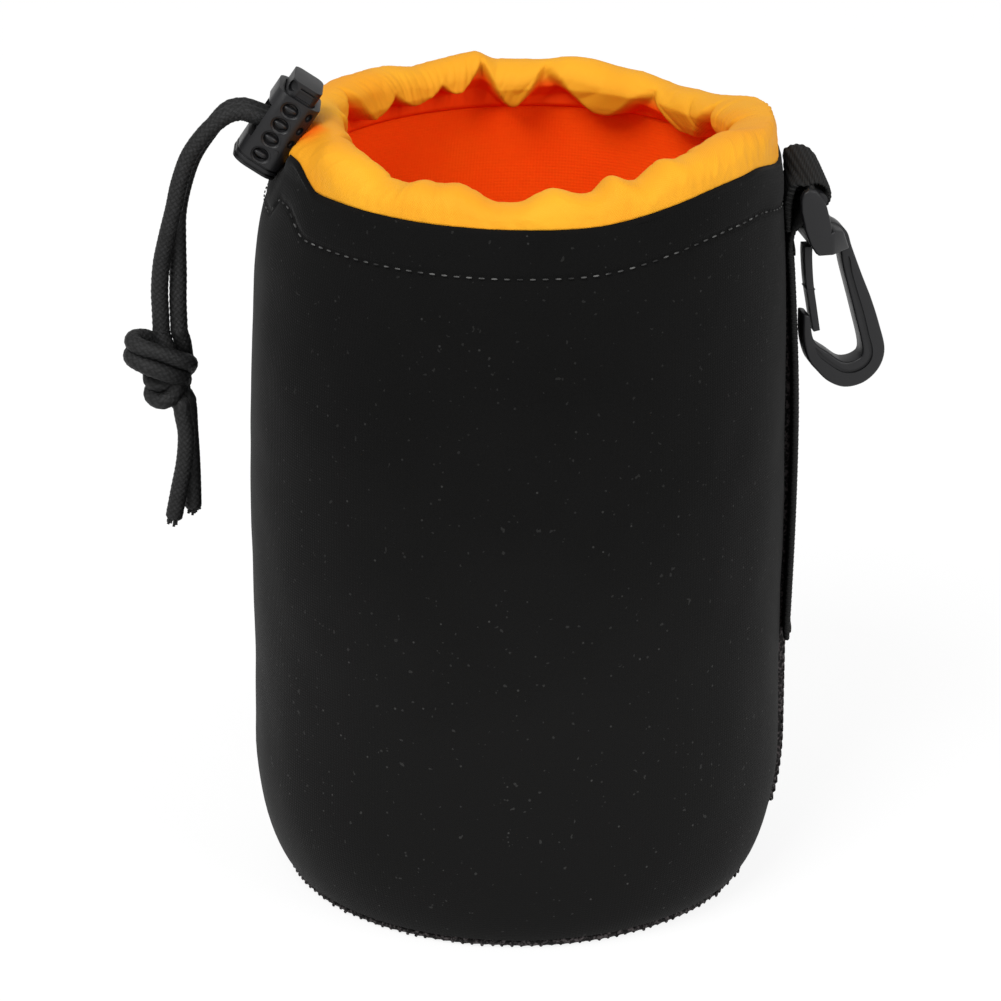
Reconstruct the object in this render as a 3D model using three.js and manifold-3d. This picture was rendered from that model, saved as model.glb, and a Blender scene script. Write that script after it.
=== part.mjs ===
// A padded drawstring lens pouch: a soft black cylinder with a gathered orange collar,
// a drawcord with a push-button cord lock, and a webbing strap with a snap hook.
// Millimetres, +Z up, the camera side is -Y, the strap is on the +X side.
// The origin is the centre of the base's underside.
import * as THREE from "three";
import { mergeVertices } from "three/addons/utils/BufferGeometryUtils.js";
import Module from "manifold-3d";

const wasm = await Module();
wasm.setup();

// Clearances and segment counts.
const clearance = 0.3;
const sewnGap = 0.4;
const cutOverrun = 2;
const roundSteps = 56;
const fullTurn = 2 * Math.PI;
const degree = Math.PI / 180;

// The padded wall.
const bodyRadius = 47.2;
const wallTop = 133.5;
const neoprene = 3.4;
const rimDrawIn = 3.7;
const rimRadius = bodyRadius - rimDrawIn;
const rimShift = 2;
const leanStart = 95;
const taperStart = 80;
const taperPower = 2.5;
const cornerHeight = 24;
const lipRound = 1.1;
const cornerShares = [0, 0.06, 0.17, 0.35, 0.62];
const upperShares = [0, 0.54, 0.68, 0.78, 0.87, 0.94, 1];

// The base disc and its seam.
const discRadius = 39.7;
const discThickness = 3.2;
const seamRidgeWidth = 1.6;
const seamRidgeHeight = 1.4;
const seamRidgeBottom = 0.2;

// The lining and the threads.
const liningThickness = 0.6;
const liningTopDrop = 2;
const threadThickness = 0.4;
const rimStitchDrop = 8;
const sideSeamWidth = 2.4;
const sideSeamBottom = 8;
const sideSeamTop = 40;
const seamShares = [0, 0.12, 0.27, 0.5, 1];

// The gathered collar: a band folded over a tunnel for the drawcord.
const nylonThickness = 0.7;
const tunnelInset = 5.1;
const tunnelAbove = 2.5;
const tunnelRadius = rimRadius - tunnelInset;
const tunnelHeight = wallTop + tunnelAbove;
const tunnelHalfWidth = 4.9;
const tunnelRise = 4.8;
const tunnelDrop = 5.6;
const hemDrop = 9;
const foldCount = 13;
const foldDepth = 1.5;
const foldRise = 1.1;
const dentDepth = 5;
const dentAngle = 188.6;
const dentReach = 26;
const dentEdge = 16;
const bandAngles = [-23, 0, 32, 62, 92, 126, 160, 196, 232, 256];
const dentShares = [0.15, 0.65, 0.92, 1, 1, 1, 1, 0.9, 0.6, 0.3];

// The drawcord and the cord lock.
const cordDiameter = 3;
const cordSides = 8;
const ringCordRise = 0.3;
const ringCordHeight = tunnelHeight + ringCordRise;
const strandSpread = 3.3;
const lockOut = 3.75;
const lockAbove = 3.9;
const lockX = -(tunnelRadius + lockOut);
const lockY = -6;
const lockZ = tunnelHeight + lockAbove;
const lockTilt = 33.7;
const barrelWidth = 8.6;
const barrelDepth = 11.2;
const barrelLength = 17.4;
const barrelCorner = 3;
const barrelWall = 1.1;
const barrelFloor = 1.6;
const plungerTravel = 2.4;
const plungerStandOut = 4.4;
const slotWidth = 7;
const slotCentre = 1;
const slotHeight = 6;
const slotSag = 1;
const headHoleRadius = 1.1;
const dimplePitch = 3.5;
const dimpleCount = 4;
const dimpleLength = 4;
const dimpleHeight = 2.5;
const dimpleDepth = 0.6;
const dimpleOffset = 1.1;
const grooveWidth = 0.5;
const grooveDepth = 0.35;
const groovePitch = 1;
const springRadius = 1.25;
const springWire = 0.5;
const springTurns = 3;

// The knot, as swellings of a doubled overhand knot, and its cut faces.
const knotTop = 102.3;
const knotBottom = 89.5;

// The strap, the loop and the snap hook.
const webbingWidth = 10;
const webbingThickness = 1.2;
const loopOut = 3.2;
const loopDrop = 5.6;
const loopCentreX = bodyRadius + loopOut;
const loopCentreZ = wallTop - loopDrop;
const loopHalfWidth = 3.6;
const loopHalfHeight = 4.4;
const strapLength = 75;
const strapTop = loopCentreZ - loopHalfHeight * 2.25;
const strapBottom = strapTop - strapLength;
const strapBulge = 0.8;
const bartackThickness = 0.5;
const bartackHeight = 1.8;
const bartackWidth = 8.4;
const hookBarOut = 0.5;
const hookBarDrop = 1.6;
const hookBarX = loopCentreX + hookBarOut;
const hookBodyShift = 0.5;
const hookBarZ = loopCentreZ - hookBarDrop;
const hookBarRadius = 1.3;
const hookWidth = 16;
const hookLength = 36.5;
const hookTurn = 12;
const hookThickness = 4.4;
const hookEdge = 0.6;
const cheekThickness = 1.5;
const cheekTopRadius = 2.2;
const baseBottomShare = 0.273;
const gateThickness = 1.3;

// Materials.
function cloth(colour) {
  return new THREE.MeshStandardMaterial({ color: colour, roughness: 0.95, metalness: 0 });
}

function plastic(colour) {
  return new THREE.MeshStandardMaterial({ color: colour, roughness: 0.45, metalness: 0 });
}

function steel() {
  return new THREE.MeshStandardMaterial({ color: 0xb8bcc0, roughness: 0.35, metalness: 1 });
}

const jerseyBlack = 0x1c1c1c;
const liningOrange = 0xe8480a;
const nylonOrange = 0xf9a01e;
const threadBlack = 0x242424;
const threadPale = 0x8c8c86;
const cordBlack = 0x1a1a1b;
const plasticBlack = 0x26262a;

function named(name, geometry, material) {
  geometry.computeVertexNormals();
  const mesh = new THREE.Mesh(geometry, material);
  mesh.name = name;
  return mesh;
}

// Joining and cutting of closed shapes.
function solidOf(geometry) {
  const bare = geometry.clone();
  bare.deleteAttribute("normal");
  bare.deleteAttribute("uv");
  const merged = mergeVertices(bare);
  return new wasm.Manifold(
    new wasm.Mesh({
      numProp: 3,
      vertProperties: merged.attributes.position.array,
      triVerts: new Uint32Array(merged.index.array),
    }),
  );
}

function geometryOf(solid) {
  const mesh = solid.getMesh();
  const geometry = new THREE.BufferGeometry();
  geometry.setAttribute("position", new THREE.BufferAttribute(mesh.vertProperties, 3));
  geometry.setIndex(new THREE.BufferAttribute(mesh.triVerts, 1));
  return geometry;
}

// A closed body whose section, a closed list of points, goes once round the pouch.
function ringGeometry(sectionAt, pointCount) {
  const positions = [];
  const indices = [];
  for (let i = 0; i < roundSteps; i++) {
    for (const p of sectionAt((i * fullTurn) / roundSteps)) {
      positions.push(p.x, p.y, p.z);
    }
    const here = i * pointCount;
    const next = ((i + 1) % roundSteps) * pointCount;
    for (let j = 0; j < pointCount; j++) {
      const k = (j + 1) % pointCount;
      indices.push(here + j, next + j, next + k);
      indices.push(here + j, next + k, here + k);
    }
  }
  const geometry = new THREE.BufferGeometry();
  geometry.setAttribute("position", new THREE.Float32BufferAttribute(positions, 3));
  geometry.setIndex(indices);
  return geometry;
}

// The pouch's top leans towards the strap, so every ring is moved by this much at its height.
function lean(z) {
  const share = Math.min(Math.max((z - leanStart) / (wallTop - leanStart), 0), 1);
  return rimShift * share * share;
}

function ringPoint(radius, z, angle) {
  return new THREE.Vector3(lean(z) + radius * Math.cos(angle), radius * Math.sin(angle), z);
}

// The profile is a closed list of [radius, height], anticlockwise with the axis on its left.
function profileRing(profile) {
  return ringGeometry(
    (angle) => profile.map(([radius, z]) => ringPoint(radius, z, angle)),
    profile.length,
  );
}

// The wall's outer radius: a rounded foot, a straight middle and a drawn-in top.
const ridgeTop = seamRidgeBottom + seamRidgeHeight;
const wallBottom = ridgeTop + clearance;
const ridgeInner = discRadius + clearance;
const footRadius = ridgeInner + seamRidgeWidth;

function outerRadius(z) {
  if (z < cornerHeight) {
    const share = (cornerHeight - z) / (cornerHeight - wallBottom);
    return footRadius + (bodyRadius - footRadius) * Math.sqrt(Math.max(1 - share * share, 0));
  }
  const taper = Math.max((z - taperStart) / (wallTop - taperStart), 0);
  return bodyRadius - (bodyRadius - rimRadius) * Math.pow(taper, taperPower);
}

function innerRadius(z) {
  const inner = outerRadius(z) - neoprene;
  return z < cornerHeight ? Math.max(inner, ridgeInner) : inner;
}

const lipStart = wallTop - lipRound;
const cornerLevels = cornerShares.map((s) => wallBottom + s * (cornerHeight - wallBottom));
const upperLevels = upperShares.map((s) => cornerHeight + s * (lipStart - cornerHeight));
const wallLevels = [...cornerLevels, ...upperLevels];

function neopreneWall() {
  const outside = wallLevels.map((z) => [outerRadius(z), z]);
  const inside = wallLevels.slice(1).map((z) => [innerRadius(z), z]);
  const lip = [
    [outerRadius(wallTop) - lipRound, wallTop],
    [innerRadius(wallTop) + lipRound, wallTop],
  ];
  const profile = [...outside, ...lip, ...inside.reverse(), [ridgeInner, wallBottom]];
  return named("neoprene_wall", profileRing(profile), cloth(jerseyBlack));
}

// The lining follows the wall's inside, from the base lining up to just under the rim.
const baseLiningTop = discThickness + clearance + liningThickness;

function liningOuter(z) {
  return innerRadius(z) - clearance;
}

function wallLining() {
  const bottom = baseLiningTop + clearance;
  const top = wallTop - liningTopDrop;
  const levels = [bottom, ...wallLevels.filter((z) => z > bottom + clearance && z < top), top];
  const outside = levels.map((z) => [liningOuter(z), z]);
  const inside = levels.map((z) => [liningOuter(z) - liningThickness, z]);
  return named("wall_lining", profileRing([...outside, ...inside.reverse()]), cloth(liningOrange));
}

function disc(radius, bottom, thickness) {
  const geometry = new THREE.CylinderGeometry(radius, radius, thickness, roundSteps);
  geometry.rotateX(Math.PI / 2);
  geometry.translate(0, 0, bottom + thickness / 2);
  return geometry;
}

function baseDisc() {
  return named("base_disc", disc(discRadius, 0, discThickness), cloth(jerseyBlack));
}

function baseLining() {
  const bottom = discThickness + clearance;
  return named("base_lining", disc(discRadius, bottom, liningThickness), cloth(liningOrange));
}

// The overlocked ridge round the base, with chamfered corners.
function baseSeam() {
  const chamfer = seamRidgeWidth / 4;
  const outer = ridgeInner + seamRidgeWidth;
  const profile = [
    [ridgeInner, seamRidgeBottom],
    [outer - chamfer, seamRidgeBottom],
    [outer, seamRidgeBottom + chamfer],
    [outer, ridgeTop - chamfer],
    [outer - chamfer, ridgeTop],
    [ridgeInner, ridgeTop],
  ];
  return named("base_seam", profileRing(profile), cloth(threadBlack));
}

// A flat band set on edge across Y: centre line points in the XZ plane, width along Y.
function bandGeometry(centreLine, thickness, width) {
  const left = [];
  const right = [];
  centreLine.forEach((p, i) => {
    const before = centreLine[Math.max(i - 1, 0)];
    const after = centreLine[Math.min(i + 1, centreLine.length - 1)];
    const along = new THREE.Vector2().subVectors(after, before).normalize();
    left.push(new THREE.Vector2(p.x - along.y * thickness / 2, p.y + along.x * thickness / 2));
    right.push(new THREE.Vector2(p.x + along.y * thickness / 2, p.y - along.x * thickness / 2));
  });
  return plateGeometry(new THREE.Shape([...left, ...right.reverse()]), width);
}

// A plate from an outline in the XZ plane, centred on Y = 0.
function plateGeometry(shape, width, edge = 0) {
  const geometry = new THREE.ExtrudeGeometry(shape, {
    depth: width - edge * 2,
    bevelEnabled: edge > 0,
    bevelThickness: edge,
    bevelSize: edge,
    bevelOffset: -edge,
    bevelSegments: 1,
    curveSegments: 6,
  });
  geometry.translate(0, 0, edge - width / 2);
  geometry.rotateX(Math.PI / 2);
  return geometry;
}

function wallX(z) {
  return outerRadius(z) + lean(z);
}

// The upright seam below the strap.
function sideSeam() {
  const line = seamShares.map((share) => {
    const z = sideSeamBottom + (sideSeamTop - sideSeamBottom) * share;
    return new THREE.Vector2(wallX(z) + sewnGap + threadThickness / 2, z);
  });
  const geometry = bandGeometry(line, threadThickness, sideSeamWidth);
  return named("side_seam", geometry, cloth(threadBlack));
}

// The stitch line that holds the collar's inner leg to the wall.
function rimStitching() {
  const z = wallTop - rimStitchDrop;
  const inner = outerRadius(z - threadThickness) + clearance;
  const outer = inner + threadThickness;
  const profile = [
    [inner, z - threadThickness / 2],
    [outer, z - threadThickness / 2],
    [outer, z + threadThickness / 2],
    [inner, z + threadThickness / 2],
  ];
  return named("rim_stitching", profileRing(profile), cloth(threadPale));
}

function smooth(share) {
  const s = Math.min(Math.max(share, 0), 1);
  return s * s * (3 - 2 * s);
}

// How far the tunnel is pushed in where the cord lock lies against it, from 0 to 1.
function dent(angle) {
  const turned = angle / degree - dentAngle;
  const away = Math.abs(((turned + 540) % 360) - 180);
  return smooth((dentReach - away) / dentEdge);
}

// The band's centre line at one angle round the mouth: up from the lip, over the
// drawcord, down inside, and along the lining to the stitch line.
function collarLine(angle) {
  const wave = Math.cos(foldCount * angle);
  const half = Math.sin(foldCount * angle * 0.5 + 1);
  const points = bandAngles.map((a, i) => {
    const rise = a < 180 ? tunnelRise + foldRise * half * Math.sin(Math.max(a, 0) * degree) : tunnelDrop;
    const inward = Math.max(-Math.cos(a * degree), 0);
    const reach = tunnelHalfWidth + foldDepth * wave * inward;
    const shift = dentDepth * dent(angle) * dentShares[i];
    return new THREE.Vector2(
      tunnelRadius - shift + reach * Math.cos(a * degree),
      tunnelHeight + rise * Math.sin(a * degree),
    );
  });
  const hemLevels = [wallTop - (hemDrop + tunnelDrop) / 3, wallTop - hemDrop];
  for (const z of hemLevels) {
    const radius = liningOuter(z) - liningThickness - clearance * 1.2 - nylonThickness / 2;
    points.push(new THREE.Vector2(radius, z));
  }
  return points;
}

function collarSection(angle) {
  const line = collarLine(angle);
  const outside = [];
  const inside = [];
  line.forEach((p, i) => {
    const before = line[Math.max(i - 1, 0)];
    const after = line[Math.min(i + 1, line.length - 1)];
    const along = new THREE.Vector2().subVectors(after, before).normalize();
    const dx = (along.y * nylonThickness) / 2;
    const dz = (along.x * nylonThickness) / 2;
    outside.push(ringPoint(p.x + dx, p.y - dz, angle));
    inside.push(ringPoint(p.x - dx, p.y + dz, angle));
  });
  return [...outside, ...inside.reverse()];
}

// The lock's frame: its length is local Z, and the cord runs through it along local X.
function lockPlace(x, y, z) {
  return new THREE.Vector3(x, y, z)
    .applyAxisAngle(new THREE.Vector3(0, 1, 0), lockTilt * degree)
    .add(new THREE.Vector3(lockX, lockY, lockZ));
}

// Where the drawcord crosses the barrel's two sides, in the lock's frame.
const slotBottom = slotCentre - slotHeight / 2;
const cordInZ = slotBottom + slotHeight - clearance - cordDiameter / 2;
const cordOutZ = slotBottom + clearance + cordDiameter / 2;

// The two ends of the drawcord leave through a hole in the band's outer leg.
function gatheredCollar() {
  const pointCount = (bandAngles.length + 2) * 2;
  const band = solidOf(ringGeometry(collarSection, pointCount));
  const holeHeight = cordDiameter + clearance * 5;
  const holeWidth = strandSpread + cordDiameter + clearance * 5;
  const reach = tunnelHalfWidth * 1.5;
  const cut = new THREE.BoxGeometry(reach, holeWidth, holeHeight);
  const place = lockPlace(barrelWidth / 2, 0, cordInZ);
  cut.translate(place.x + reach / 4, place.y, place.z - clearance);
  return named("gathered_collar", geometryOf(band.subtract(solidOf(cut))), cloth(nylonOrange));
}

// Round cords.
function cordGeometry(points, steps) {
  const shape = new THREE.Shape();
  for (let i = 0; i < cordSides; i++) {
    const a = ((i + 0.5) * fullTurn) / cordSides;
    const x = (cordDiameter / 2) * Math.cos(a);
    const y = (cordDiameter / 2) * Math.sin(a);
    if (i === 0) {
      shape.moveTo(x, y);
    } else {
      shape.lineTo(x, y);
    }
  }
  shape.closePath();
  const path = new THREE.CatmullRomCurve3(points, false, "centripetal");
  return new THREE.ExtrudeGeometry(shape, { steps, bevelEnabled: false, extrudePath: path });
}

// The drawcord inside the collar: in through the lock, once round the tunnel and out again.
function drawcordLoop() {
  const ends = [-1, 1].map((side) => {
    const y = (side * strandSpread) / 2;
    const outside = lockPlace(-barrelWidth / 2 + clearance, y, cordOutZ);
    const middle = lockPlace(0, y, (cordInZ + cordOutZ) / 2);
    const inside = lockPlace(barrelWidth / 2, y, cordInZ);
    const turning = new THREE.Vector3(
      inside.x + cordDiameter * 1.2,
      inside.y + side * cordDiameter * 0.1,
      inside.z - cordDiameter * 0.5,
    );
    return [outside, middle, inside, turning];
  });
  const ring = [];
  const ringStart = dentAngle + dentReach * 0.5;
  const ringEnd = dentAngle + 360 - dentReach * 0.5;
  const ringPoints = 26;
  for (let i = 0; i <= ringPoints; i++) {
    const angle = (ringStart + ((ringEnd - ringStart) * i) / ringPoints) * degree;
    ring.push(ringPoint(tunnelRadius - dentDepth * dent(angle), ringCordHeight, angle));
  }
  const points = [...ends[0], ...ring, ...ends[1].reverse()];
  return named("drawcord_loop", cordGeometry(points, 76), cloth(cordBlack));
}

// The free runs of the drawcord, point by point from the lock down to the knot,
// and from the knot down to the cut ends.
const frontStrandRoute = [
  [-45.95, -7.65, 142.5],
  [-47.7, -7.65, 142.8],
  [-50.2, -7.7, 142],
  [-53.4, -7.9, 139.3],
  [-56.4, -8.2, 135.2],
  [-58.2, -8.5, 130.4],
  [-59.3, -8.6, 125.6],
  [-60.6, -8.2, 120.5],
  [-62, -7.6, 115.5],
  [-62.7, -7.2, 110.5],
  [-62.6, -7.2, 106],
  [-62.4, -7.2, 102.7],
];
const backStrandRoute = [
  [-45.95, -4.35, 142.5],
  [-47.7, -4.35, 142.8],
  [-50.1, -4.4, 142],
  [-53, -4.6, 138.6],
  [-55.9, -4.9, 134.2],
  [-57.7, -5.1, 129.2],
  [-58.8, -5.2, 124],
  [-59, -5.3, 119],
  [-59, -5.8, 113],
  [-59.1, -6.5, 108],
  [-59, -6.9, 102.7],
];
const frontTailRoute = [
  [-59.9, -8.7, 89.2],
  [-59.9, -8.7, 87.6],
  [-58.9, -8.8, 83.5],
  [-59.8, -8.6, 77],
  [-60.8, -8.3, 68],
];
const backTailRoute = [
  [-58.2, -5.3, 89.2],
  [-58.2, -5.3, 87.6],
  [-58, -5.1, 83],
  [-57.9, -5.4, 76],
  [-57.6, -5.8, 69],
];

function freeCord(name, route, steps) {
  const points = route.map(([x, y, z]) => new THREE.Vector3(x, y, z));
  return named(name, cordGeometry(points, steps), cloth(cordBlack));
}

// The knot: swellings given as [x, y, z, half width, half depth, half height] from the
// middle of the knot, as shares of the cord's diameter, cut flat where the cords meet it.
const knotX = -61.6;
const knotY = -7.2;
const knotZ = 96.2;
const knotShares = [
  [0, 0, 0, 1.46, 1.4, 1.93],
  [-1.66, -0.06, 0.93, 1.13, 1.2, 1.46],
  [-0.26, 0, 0.8, 0.86, 1, 1.4],
  [0.8, 0.1, 0.8, 0.86, 1, 1.4],
  [0.8, 0.04, -1.2, 1.06, 1.35, 1.25],
];

function drawcordKnot() {
  const lumps = knotShares.map(([x, y, z, a, b, c]) => {
    const lump = new THREE.SphereGeometry(cordDiameter, 14, 10);
    lump.scale(a, b, c);
    lump.translate(
      knotX + x * cordDiameter,
      knotY + y * cordDiameter,
      knotZ + z * cordDiameter,
    );
    return solidOf(lump);
  });
  const block = new THREE.BoxGeometry(cordDiameter * 9, cordDiameter * 9, knotTop - knotBottom);
  block.translate(knotX, knotY, (knotTop + knotBottom) / 2);
  const knot = lumps.reduce((sum, lump) => sum.add(lump)).intersect(solidOf(block));
  return named("drawcord_knot", geometryOf(knot), cloth(cordBlack));
}

// A bar with rounded corners along Z, from one height to another.
function roundedBar(width, depth, corner, bottom, top) {
  const shape = new THREE.Shape();
  const x = width / 2 - corner;
  const y = depth / 2 - corner;
  shape.absarc(x, y, corner, 0, Math.PI / 2);
  shape.absarc(-x, y, corner, Math.PI / 2, Math.PI);
  shape.absarc(-x, -y, corner, Math.PI, Math.PI * 1.5);
  shape.absarc(x, -y, corner, Math.PI * 1.5, fullTurn);
  shape.closePath();
  const geometry = new THREE.ExtrudeGeometry(shape, {
    depth: top - bottom,
    bevelEnabled: false,
    curveSegments: 4,
  });
  geometry.translate(0, 0, bottom);
  return geometry;
}

function block(width, depth, bottom, top) {
  const geometry = new THREE.BoxGeometry(width, depth, top - bottom);
  geometry.translate(0, 0, (top + bottom) / 2);
  return geometry;
}

const barrelBottom = -barrelLength / 2;
const barrelTop = barrelLength / 2;
const cavityFloor = barrelBottom + barrelFloor;
const cavityWidth = barrelWidth - barrelWall * 2;
const cavityDepth = barrelDepth - barrelWall * 2;
const plungerWidth = cavityWidth - clearance * 2;
const plungerDepth = cavityDepth - clearance * 2;
const plungerBottom = cavityFloor + plungerTravel + clearance;
const plungerSlotBottom = slotBottom + clearance;
const pocketWall = 0.9;
const pocketTop = plungerSlotBottom - pocketWall;

// The lock's barrel with its cavity, cord slot, thumb dimples and end grooves.
function lockBarrel() {
  let barrel = solidOf(
    roundedBar(barrelWidth, barrelDepth, barrelCorner, barrelBottom, barrelTop),
  );
  const cavityCorner = barrelCorner - barrelWall;
  barrel = barrel.subtract(
    solidOf(roundedBar(cavityWidth, cavityDepth, cavityCorner, cavityFloor, barrelTop + cutOverrun)),
  );
  const slotTop = slotBottom + slotHeight;
  const slot = block(barrelWidth + cutOverrun, slotWidth, slotBottom - slotSag, slotTop);
  barrel = barrel.subtract(solidOf(slot));
  for (const side of [-1, 1]) {
    for (let i = 0; i < dimpleCount; i++) {
      const z = dimplePitch * (i - (dimpleCount - 1) / 2);
      const dimple = new THREE.SphereGeometry(1, 10, 6);
      dimple.scale(dimpleLength / 2, dimpleDepth, dimpleHeight / 2);
      dimple.translate(side * dimpleOffset, (side * barrelDepth) / 2, z);
      barrel = barrel.subtract(solidOf(dimple));
    }
  }
  for (let i = 1; i <= 2; i++) {
    const z = barrelBottom + i * groovePitch - groovePitch / 2;
    for (const side of [-1, 1]) {
      const groove = new THREE.BoxGeometry(barrelWidth - barrelCorner, grooveDepth * 2, grooveWidth);
      groove.translate(0, (side * barrelDepth) / 2, z);
      barrel = barrel.subtract(solidOf(groove));
    }
  }
  return named("lock_barrel", geometryOf(barrel), plastic(plasticBlack));
}

// The plunger with its cord slot, its spring pocket and the small hole in its head.
function lockPlunger() {
  const corner = barrelCorner - barrelWall - clearance;
  const top = barrelTop + plungerStandOut;
  let plunger = solidOf(roundedBar(plungerWidth, plungerDepth, corner, plungerBottom, top));
  const slotTop = slotBottom + slotHeight + plungerTravel;
  const slot = block(plungerWidth + cutOverrun, slotWidth, plungerSlotBottom, slotTop);
  plunger = plunger.subtract(solidOf(slot));
  const pocketRadius = springRadius + springWire / 2 + clearance;
  const pocketDepth = pocketTop - plungerBottom + cutOverrun;
  const pocket = new THREE.CylinderGeometry(pocketRadius, pocketRadius, pocketDepth, 16);
  pocket.rotateX(Math.PI / 2);
  pocket.translate(0, 0, pocketTop - pocketDepth / 2);
  plunger = plunger.subtract(solidOf(pocket));
  const holeLength = plungerWidth + cutOverrun;
  const hole = new THREE.CylinderGeometry(headHoleRadius, headHoleRadius, holeLength, 12);
  hole.rotateZ(Math.PI / 2);
  hole.translate(0, 0, top - plungerStandOut / 2);
  plunger = plunger.subtract(solidOf(hole));
  return named("lock_plunger", geometryOf(plunger), plastic(plasticBlack));
}

// The compression spring, a helix of 8 steps a turn with 5 sides and straight ends.
class SpringPath extends THREE.Curve {
  getPoint(share) {
    const bottom = cavityFloor + clearance + springWire / 2;
    const top = pocketTop - clearance - springWire / 2;
    const angle = share * springTurns * fullTurn;
    return new THREE.Vector3(
      springRadius * Math.cos(angle),
      springRadius * Math.sin(angle),
      bottom + (top - bottom) * share,
    );
  }
}

function lockSpring() {
  const wire = new THREE.Shape();
  wire.absarc(0, 0, springWire / 2, 0, fullTurn);
  const path = new SpringPath();
  const geometry = new THREE.ExtrudeGeometry(wire, {
    steps: springTurns * 8,
    bevelEnabled: false,
    curveSegments: 5,
    extrudePath: path,
  });
  const rise = path.getPoint(1).z - path.getPoint(0).z;
  console.log("lock_spring least gap to itself", (rise / springTurns - springWire).toFixed(2), "mm");
  return named("lock_spring", geometry, steel());
}

// The webbing: sewn to the wall at the rim, over and round the hook's bar, then down
// the pouch's side as the belt loop. The loop is turned with the hook.
const loopLeavingShares = [
  [-0.16, -1.07],
  [-0.44, -1.33],
];

function strapX(z) {
  const share = Math.sin((Math.PI * (strapTop - z)) / (strapTop - strapBottom));
  return wallX(z) + sewnGap + webbingThickness / 2 + strapBulge * share;
}

function strapLine() {
  const line = [];
  const arcSteps = 16;
  const startAngle = Math.PI;
  const endAngle = -75 * degree;
  const sewnZ = loopCentreZ - bartackHeight * 0.7;
  line.push(new THREE.Vector2(loopCentreX - loopHalfWidth, sewnZ));
  for (let i = 0; i <= arcSteps; i++) {
    const a = startAngle + ((endAngle - startAngle) * i) / arcSteps;
    line.push(
      new THREE.Vector2(
        loopCentreX + loopHalfWidth * Math.cos(a),
        loopCentreZ + loopHalfHeight * Math.sin(a),
      ),
    );
  }
  for (const [x, z] of loopLeavingShares) {
    line.push(
      new THREE.Vector2(loopCentreX + x * loopHalfWidth, loopCentreZ + z * loopHalfHeight),
    );
  }
  const steps = 16;
  for (let i = 0; i <= steps; i++) {
    const z = strapTop + ((strapBottom - strapTop) * i) / steps;
    line.push(new THREE.Vector2(strapX(z), z));
  }
  return line;
}

function sideStrap() {
  const curve = new THREE.SplineCurve(strapLine());
  const line = curve.getPoints(strapLine().length * 2);
  const geometry = bandGeometry(line, webbingThickness, webbingWidth);
  const places = geometry.attributes.position;
  const upright = new THREE.Vector3(0, 0, 1);
  const start = loopCentreX - loopHalfWidth + webbingThickness / 2;
  for (let i = 0; i < places.count; i++) {
    const place = new THREE.Vector3().fromBufferAttribute(places, i);
    const outShare = THREE.MathUtils.smoothstep(place.x, start, start + webbingThickness * 2);
    const upShare = THREE.MathUtils.smoothstep(place.z, strapTop, strapTop + bartackHeight * 2);
    place.x -= hookBarX;
    place.applyAxisAngle(upright, outShare * upShare * hookTurn * degree);
    places.setXYZ(i, place.x + hookBarX, place.y, place.z);
  }
  return named("side_strap", geometry, cloth(threadBlack));
}

function bartack(name, innerX, z) {
  const geometry = new THREE.BoxGeometry(bartackThickness, bartackWidth, bartackHeight);
  geometry.translate(innerX + bartackThickness / 2, 0, z);
  return named(name, geometry, cloth(threadBlack));
}

function bartacks() {
  const off = webbingThickness / 2 + sewnGap;
  const upperZ = strapTop - bartackHeight;
  const lowerZ = strapBottom + bartackHeight;
  return [
    bartack("bartack_rim", loopCentreX - loopHalfWidth + off, loopCentreZ),
    bartack("bartack_upper", strapX(upperZ) + off, upperZ),
    bartack("bartack_lower", strapX(lowerZ) + off, lowerZ),
  ];
}

// The hook's outline from the bar's centre: x as shares of its width, z of its length.
const hookOuterShares = [
  [-0.06, -0.273],
  [-0.07, -0.235],
  [-0.04, -0.19],
  [0.19, -0.125],
  [0.35, -0.13],
  [0.44, -0.2],
  [0.47, -0.28],
  [0.57, -0.43],
  [0.69, -0.555],
  [0.8, -0.695],
  [0.87, -0.82],
  [0.805, -0.915],
  [0.63, -0.982],
  [0.4, -1],
  [0.2, -0.965],
  [0.045, -0.9],
  [-0.03, -0.845],
  [-0.09, -0.74],
  [-0.1, -0.61],
];
const hookInnerShares = [
  [-0.02, -0.618],
  [0.005, -0.69],
  [0.035, -0.75],
  [0.19, -0.81],
  [0.37, -0.868],
  [0.54, -0.86],
  [0.6, -0.81],
  [0.49, -0.62],
  [0.34, -0.39],
  [0.3, -0.3],
  [0.24, -0.273],
];
const gateShares = [
  [-0.04, -0.33],
  [-0.01, -0.46],
  [0.045, -0.59],
  [0.085, -0.71],
];

function hookPoint([x, z]) {
  return new THREE.Vector2(
    hookBarX + hookBodyShift + x * hookWidth,
    hookBarZ + z * hookLength,
  );
}

// The whole hook hangs turned a little about the upright line through its bar.
function turned(geometry) {
  geometry.translate(-hookBarX, 0, 0);
  geometry.rotateZ(hookTurn * degree);
  geometry.translate(hookBarX, 0, 0);
  return geometry;
}

function hookOutline() {
  const outer = hookOuterShares.map(hookPoint);
  const inner = hookInnerShares.map(hookPoint);
  const shape = new THREE.Shape();
  shape.moveTo(outer[0].x, outer[0].y);
  shape.splineThru(outer.slice(1));
  shape.lineTo(inner[0].x, inner[0].y);
  shape.splineThru(inner.slice(1));
  shape.closePath();
  return new THREE.Shape(shape.getPoints(2));
}

// A cheek beside the webbing, round at the bar and square at the base.
function cheekOutline() {
  const base = hookBarZ - baseBottomShare * hookLength;
  const shape = new THREE.Shape();
  shape.absarc(hookBarX, hookBarZ, cheekTopRadius, 0, Math.PI);
  shape.lineTo(hookBarX - cheekTopRadius * 0.4, base);
  shape.lineTo(hookBarX + cheekTopRadius * 1.8, base);
  shape.closePath();
  return shape;
}

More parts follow.
